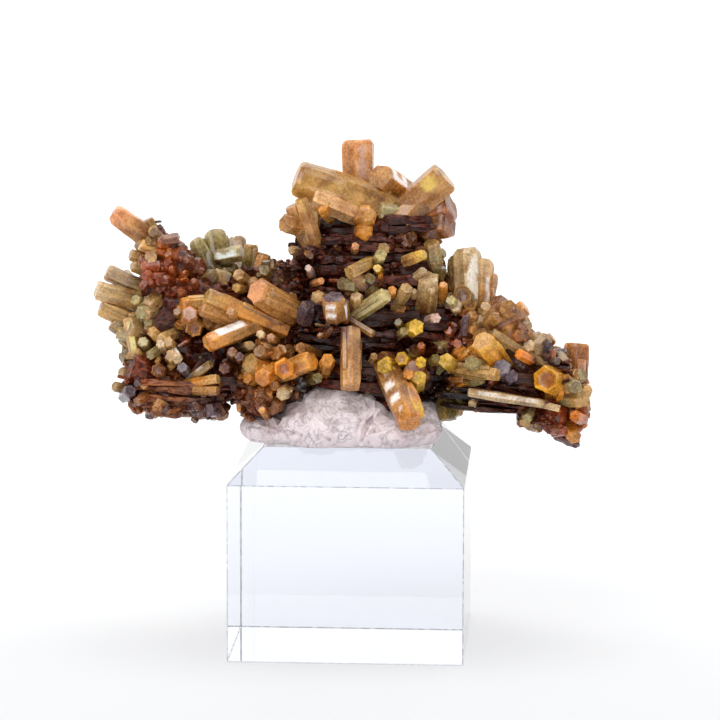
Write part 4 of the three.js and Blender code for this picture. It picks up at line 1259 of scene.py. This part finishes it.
def pyromorphite_material():
    """Resinous, softly mottled crystal with faint lengthwise striae, darker in patches towards the root."""
    made = Material("pyromorphite")
    tint = made.attribute("tint", "Color")
    rise = made.attribute("tint", "Alpha")
    grain = made.attribute("grain", "Vector")
    streaks = made.noise(made.stretched(grain, (3.2, 3.2, 0.7)), 1.0, 3.0)
    clouds = made.noise(grain, 0.6, 4.0)
    mottle = made.noise(grain, 3.6, 5.0)
    dark = made.mix(1.0, tint, (0.60, 0.42, 0.27, 1.0), "MULTIPLY")
    light = made.mix(1.0, made.mix(0.12, tint, (0.92, 0.60, 0.28, 1.0)), (1.3, 1.3, 1.25, 1.0), "MULTIPLY")
    colour = made.mix(made.spread(mottle, 0.34, 0.47, 0.45, 1.0), dark, tint)
    colour = made.mix(made.spread(mottle, 0.52, 0.68, 0.0, 0.85), colour, light)
    colour = made.mix(made.spread(streaks, 0.44, 0.34, 0.0, 0.35), colour, dark)
    colour = made.mix(made.spread(clouds, 0.52, 0.66, 0.0, 0.65), colour, light)
    colour = made.mix(made.spread(clouds, 0.46, 0.34, 0.0, 0.75), colour, dark)
    root_darkening = made.times(made.spread(rise, 0.55, 0.0), made.spread(clouds, 0.64, 0.42))
    colour = made.mix(root_darkening, colour, (0.09, 0.02, 0.006, 1.0))
    # Where a reflection is painted on a facet, its painted colour shows through the mottle.
    painted_reflection = made.times(made.spread(rise, 2.4, 3.2), made.spread(mottle, 0.38, 0.44))
    colour = made.mix(painted_reflection, colour, tint)
    made.link(colour, made.shader.inputs["Base Color"])
    made.link(made.spread(mottle, 0.3, 0.7, 0.14, 0.42), made.shader.inputs["Roughness"])
    made.bump(made.mix(0.4, streaks, mottle), 0.5, 0.07)
    made.set(IOR=1.6, Coat_Weight=0.25, Coat_Roughness=0.08)
    made.set(Subsurface_Weight=0.2, Subsurface_Radius=(1.0, 0.45, 0.15), Subsurface_Scale=0.6 * MM)
    return made.material


def barite_material(name, line_and_sheen_colour):
    """Dark red-brown barite, glossy on its cleavage, with thin lighter lines along each blade, partly its own
    colour and partly painted highlight.
    """
    made = Material(name)
    tint = made.attribute("tint", "Color")
    grain = made.attribute("grain", "Vector")
    coarse = made.noise(grain, 0.7, 3.0)
    fine = made.noise(grain, 2.6, 4.0)
    dark = made.mix(1.0, tint, (0.22, 0.10, 0.08, 1.0), "MULTIPLY")
    light = made.mix(0.55, tint, line_and_sheen_colour)
    colour = made.mix(made.spread(fine, 0.38, 0.56), dark, tint)
    # The lighter lines are partly the barite's own colour and partly painted highlights.
    colour = made.mix(made.spread(fine, 0.58, 0.68, 0.0, 0.9), colour, light)
    colour = made.mix(made.spread(coarse, 0.48, 0.34, 0.0, 0.7), colour, dark)
    made.link(colour, made.shader.inputs["Base Color"])
    made.link(made.spread(fine, 0.35, 0.65, 0.10, 0.40), made.shader.inputs["Roughness"])
    made.bump(fine, 0.7, 0.12)
    made.set(IOR=1.64, Specular_IOR_Level=0.2)
    return made.material


def in_mm(made):
    """Object coordinates, in mm."""
    node = made.nodes.new("ShaderNodeTexCoord")
    return made.stretched(node.outputs["Object"], (1 / MM, 1 / MM, 1 / MM))


def putty_material():
    """Pinkish-grey kneaded putty with the ridges of fingers, fine wrinkles and dark specks, painted shade in
    its wrinkles, creases and ridge grooves, and painted light on its top.
    """
    made = Material("putty")
    place = in_mm(made)
    clouds = made.noise(place, 0.35, 3.0)
    wrinkles = made.noise(place, 1.3, 5.0)
    fine = made.noise(place, 5.0, 3.0)
    prints = made.attribute("grain", "Vector")
    ridges = made.math("SINE", made.times(made.part(prints, "X"), 2 * math.pi / RIDGE_SPACING))
    ridges = made.times(made.spread(ridges, -1.0, 1.0), made.spread(made.part(prints, "Y"), 0.0, 0.5))
    colour = made.mix(made.spread(clouds, 0.35, 0.65), (0.80, 0.675, 0.70, 1.0), (0.90, 0.795, 0.82, 1.0))
    # Lighter towards the top, where the specimen above shades it: painted light.
    high = made.spread(made.part(place, "Z"), BLOCK_HEIGHT + 1.5, BLOCK_HEIGHT + 4.5, 0.0, 0.9)
    colour = made.mix(high, colour, (1.0, 0.92, 0.94, 1.0))
    swirl = made.math("ABSOLUTE", made.math("SUBTRACT", made.noise(place, 0.7, 2.5), 0.5))
    creases = made.spread(swirl, 0.014, 0.0)
    # Darker in the hollows of the wrinkles and along the creases: painted shade.
    colour = made.mix(made.spread(wrinkles, 0.46, 0.36, 0.0, 0.6), colour, (0.50, 0.40, 0.42, 1.0))
    colour = made.mix(made.times(creases, 0.55), colour, (0.38, 0.29, 0.32, 1.0))
    colour = made.mix(made.spread(fine, 0.38, 0.28, 0.0, 0.6), colour, (0.42, 0.33, 0.36, 1.0))
    # Darker in the grooves between the finger ridges: painted shade.
    colour = made.mix(made.spread(ridges, 0.3, 1.0, 0.0, 0.20), colour, (0.45, 0.35, 0.38, 1.0))
    made.link(colour, made.shader.inputs["Base Color"])
    made.link(made.spread(fine, 0.3, 0.7, 0.42, 0.65), made.shader.inputs["Roughness"])
    height = made.mix(0.35, wrinkles, fine)
    height = made.mix(0.45, height, made.spread(ridges, 0.0, 1.0, 0.6, 0.3))
    made.bump(made.mix(made.times(creases, 0.6), height, (0.0, 0.0, 0.0, 1.0)), 0.9, 0.26)
    made.set(Subsurface_Weight=0.1, Subsurface_Radius=(1.0, 0.7, 0.7), Subsurface_Scale=0.4 * MM)
    return made.material


# Tints and painted shade of the block's faces, linear, by the way they face
CLEAR = (1.0, 1.0, 1.0, 1.0)
UPRIGHT_TINT_AND_SHADE = (0.985, 0.99, 1.0, 1.0)
BACK_TINT_AND_SHADE = (0.74, 0.77, 0.88, 1.0)
SIDE_BEVEL_TINT_AND_SHADE = (0.93, 0.95, 1.0, 1.0)
LONG_BEVEL_TINT_AND_SHADE = (0.80, 0.82, 0.88, 1.0)


def acrylic_material():
    """Clear polished acrylic with the faintest haze; its back and its bevels are a little blue-grey, a faint
    tint with painted shade.
    """
    made = Material("acrylic")
    place = in_mm(made)
    haze = made.noise(place, 0.18, 4.0)
    made.link(made.spread(haze, 0.4, 0.8, 0.0, 0.02), made.shader.inputs["Roughness"])
    facing = made.nodes.new("ShaderNodeNewGeometry").outputs["Normal"]
    level = made.math("ABSOLUTE", made.part(facing, "Z"))
    forward = made.math("ABSOLUTE", made.part(facing, "Y"))
    bevels = made.mix(made.spread(forward, 0.30, 0.35), SIDE_BEVEL_TINT_AND_SHADE, LONG_BEVEL_TINT_AND_SHADE)
    at_back = made.spread(made.part(place, "Y"), BLOCK_BACK - 0.7, BLOCK_BACK - 0.2)
    colour = made.mix(at_back, UPRIGHT_TINT_AND_SHADE, BACK_TINT_AND_SHADE)
    colour = made.mix(made.spread(level, 0.40, 0.45), colour, bevels)
    colour = made.mix(made.spread(level, 0.93, 0.97), colour, CLEAR)
    made.link(colour, made.shader.inputs["Base Color"])
    made.set(Transmission_Weight=1.0, IOR=1.49)
    return made.material


def acrylic_edge_material():
    """The block's broken edges, sanded and only partly polished, painted grey as shade for the dark lines
    along the edges.
    """
    made = Material("acrylic_edge")
    scuffs_and_shade = made.noise(in_mm(made), 1.2, 4.0)
    colour = made.mix(made.spread(scuffs_and_shade, 0.4, 0.6), (0.32, 0.34, 0.37, 1.0), (0.56, 0.58, 0.62, 1.0))
    made.link(colour, made.shader.inputs["Base Color"])
    made.link(made.spread(scuffs_and_shade, 0.3, 0.7, 0.15, 0.35), made.shader.inputs["Roughness"])
    made.set(Transmission_Weight=0.4, IOR=1.49)
    return made.material


EDGE_WIDTH = 0.09
WELD_REACH = 0.01
# The floor's glow, painted light, from near to far, between two places behind the block's middle in metres
FLOOR_GLOW_START = -0.045
FLOOR_GLOW_END = 0.21
FLOOR_GLOW_NEAR = 0.205
FLOOR_GLOW_FAR = 0.70


def floor_material():
    """A pale sheet that glows, more so towards the back: painted light that brightens the floor and softens
    the shadows on it.
    """
    made = Material("floor")
    place = made.nodes.new("ShaderNodeTexCoord").outputs["Object"]
    clouds = made.noise(place, 10.0, 2.0)
    colour = made.mix(made.spread(clouds, 0.3, 0.7), (0.515, 0.52, 0.53, 1.0), (0.53, 0.535, 0.545, 1.0))
    made.link(colour, made.shader.inputs["Base Color"])
    glow = made.spread(made.part(place, "Y"), FLOOR_GLOW_START, FLOOR_GLOW_END, FLOOR_GLOW_NEAR,
                       FLOOR_GLOW_FAR)
    made.link(glow, made.shader.inputs["Emission Strength"])
    made.set(Roughness=0.8, Emission_Color=(1.0, 1.0, 1.0, 1.0))
    return made.material


def dress_block():
    """Keeps the CAD block, with its edges broken by a hair and clear acrylic that lets light through."""
    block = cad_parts["acrylic_block"]
    block.visible_shadow = False
    block.data.materials.clear()
    block.data.materials.append(acrylic_material())
    block.data.materials.append(acrylic_edge_material())
    weld = block.modifiers.new("Joined faces", "WELD")
    weld.merge_threshold = WELD_REACH * MM
    edge = block.modifiers.new("Broken edges", "BEVEL")
    edge.width = EDGE_WIDTH * MM
    edge.segments = 1
    edge.limit_method = "ANGLE"
    edge.material = 1


FLOOR_SIDE = 1.6
FLOOR_DROP = 0.02


def add_floor():
    half = FLOOR_SIDE / 2
    mesh = bpy.data.meshes.new("floor")
    corners = [(-half, -half), (half, -half), (half, half), (-half, half)]
    mesh.from_pydata([(x, y, -FLOOR_DROP * MM) for x, y in corners], [], [(0, 1, 2, 3)])
    mesh.materials.append(floor_material())
    floor = bpy.data.objects.new("floor", mesh)
    bpy.context.scene.collection.objects.link(floor)


def add_light(name, place, side, power):
    """A square soft light, placed in metres and turned to the specimen."""
    lamp = bpy.data.lights.new(name, "AREA")
    lamp.size = side
    lamp.energy = power
    made = bpy.data.objects.new(name, lamp)
    made.location = place
    aim = Vector(VIEW_AIM * MM)
    made.rotation_euler = (aim - Vector(place)).to_track_quat("-Z", "Y").to_euler()
    bpy.context.scene.collection.objects.link(made)


BEHIND_BRIGHTNESS = 1.12
ROOM_BRIGHTNESS = 0.34
SWEEP_START = -0.45
SWEEP_END = 0.20
# Lights: place and side of the square in metres, and power in watts
LIGHTS = {
    "key": ((-0.14, -0.34, 0.42), 0.34, 1.18),
    "fill": ((0.05, -0.46, 0.07), 0.26, 0.40),
    "top": ((0.0, 0.02, 0.50), 0.34, 0.8),
}


def add_world():
    """A white sweep behind the specimen, and a dimmer room in front of it."""
    world = bpy.data.worlds.new("studio")
    world.use_nodes = True
    nodes = world.node_tree.nodes
    links = world.node_tree.links
    place = nodes.new("ShaderNodeTexCoord")
    parts = nodes.new("ShaderNodeSeparateXYZ")
    ramp = nodes.new("ShaderNodeMapRange")
    ramp.interpolation_type = "SMOOTHSTEP"
    ramp.inputs["From Min"].default_value = SWEEP_START
    ramp.inputs["From Max"].default_value = SWEEP_END
    ramp.inputs["To Min"].default_value = ROOM_BRIGHTNESS
    ramp.inputs["To Max"].default_value = BEHIND_BRIGHTNESS
    links.new(place.outputs["Generated"], parts.inputs["Vector"])
    links.new(parts.outputs["Y"], ramp.inputs["Value"])
    links.new(ramp.outputs["Result"], nodes["Background"].inputs["Strength"])
    nodes["Background"].inputs["Color"].default_value = (1.0, 1.0, 1.0, 1.0)
    bpy.context.scene.world = world


def add_lights():
    add_world()
    for name, (place, side, power) in LIGHTS.items():
        add_light(name, place, side, power)


def add_camera():
    lens = bpy.data.cameras.new("camera")
    lens.sensor_width = SENSOR_WIDTH
    lens.lens = VIEW_FOCAL_PIXELS * SENSOR_WIDTH / (2 * PICTURE_MIDDLE)
    camera = bpy.data.objects.new("camera", lens)
    eye = Vector((VIEW_AIM - AWAY * VIEW_DISTANCE) * MM)
    axes = Matrix([RIGHT, UP, -AWAY]).transposed()
    roll = Matrix.Rotation(VIEW_ROLL, 3, "Z")
    camera.matrix_world = Matrix.Translation(eye) @ (axes @ roll).to_4x4()
    bpy.context.scene.collection.objects.link(camera)
    bpy.context.scene.camera = camera


def add_specimen():
    pyromorphite = pyromorphite_material()
    barite = barite_material("bladed barite", (0.26, 0.085, 0.042, 1.0))
    groups = {
        "crown_crystals": CROWN + NECK + OLIVE_CLUSTER,
        "left_crystals": LEFT_FAN + LEFT_FRONT + CENTRE_FRONT,
        "right_crystals": RIGHT_FAN + RIGHT_WING + BACK,
    }
    all_crystals = sum(groups.values(), [])
    pieces = []
    for number, (name, crystals) in enumerate(groups.items()):
        shapes = Shapes()
        add_crystals(shapes, crystals, 1000 * (number + 1))
        pieces.append(shapes.piece(name, pyromorphite))
    random = np.random.default_rng(7)
    plates = Shapes()
    add_stack_plates(plates, random)
    add_wing_plates(plates, random)
    pieces.append(plates.piece("barite_blades", barite))
    small_crystals = Shapes()
    chips = Shapes()
    add_grains(small_crystals, chips, all_crystals, random)
    pieces.append(small_crystals.piece("small_crystals", pyromorphite))
    crusts = Shapes()
    add_crusts(crusts, all_crystals, random)
    pieces.append(crusts.piece("crust_crystals", pyromorphite))
    pieces.append(chips.piece("barite_chips", barite))
    pieces.append(barite_body(barite_material("massive barite", (0.34, 0.075, 0.015, 1.0)), all_crystals))
    for piece in pieces:
        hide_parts("mineral_specimen")


def add_putty():
    lump = putty_piece(putty_material())
    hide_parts("putty")


add_camera()
add_lights()
add_floor()
dress_block()
add_putty()
add_specimen()
bpy.context.scene.view_settings.view_transform = "Standard"
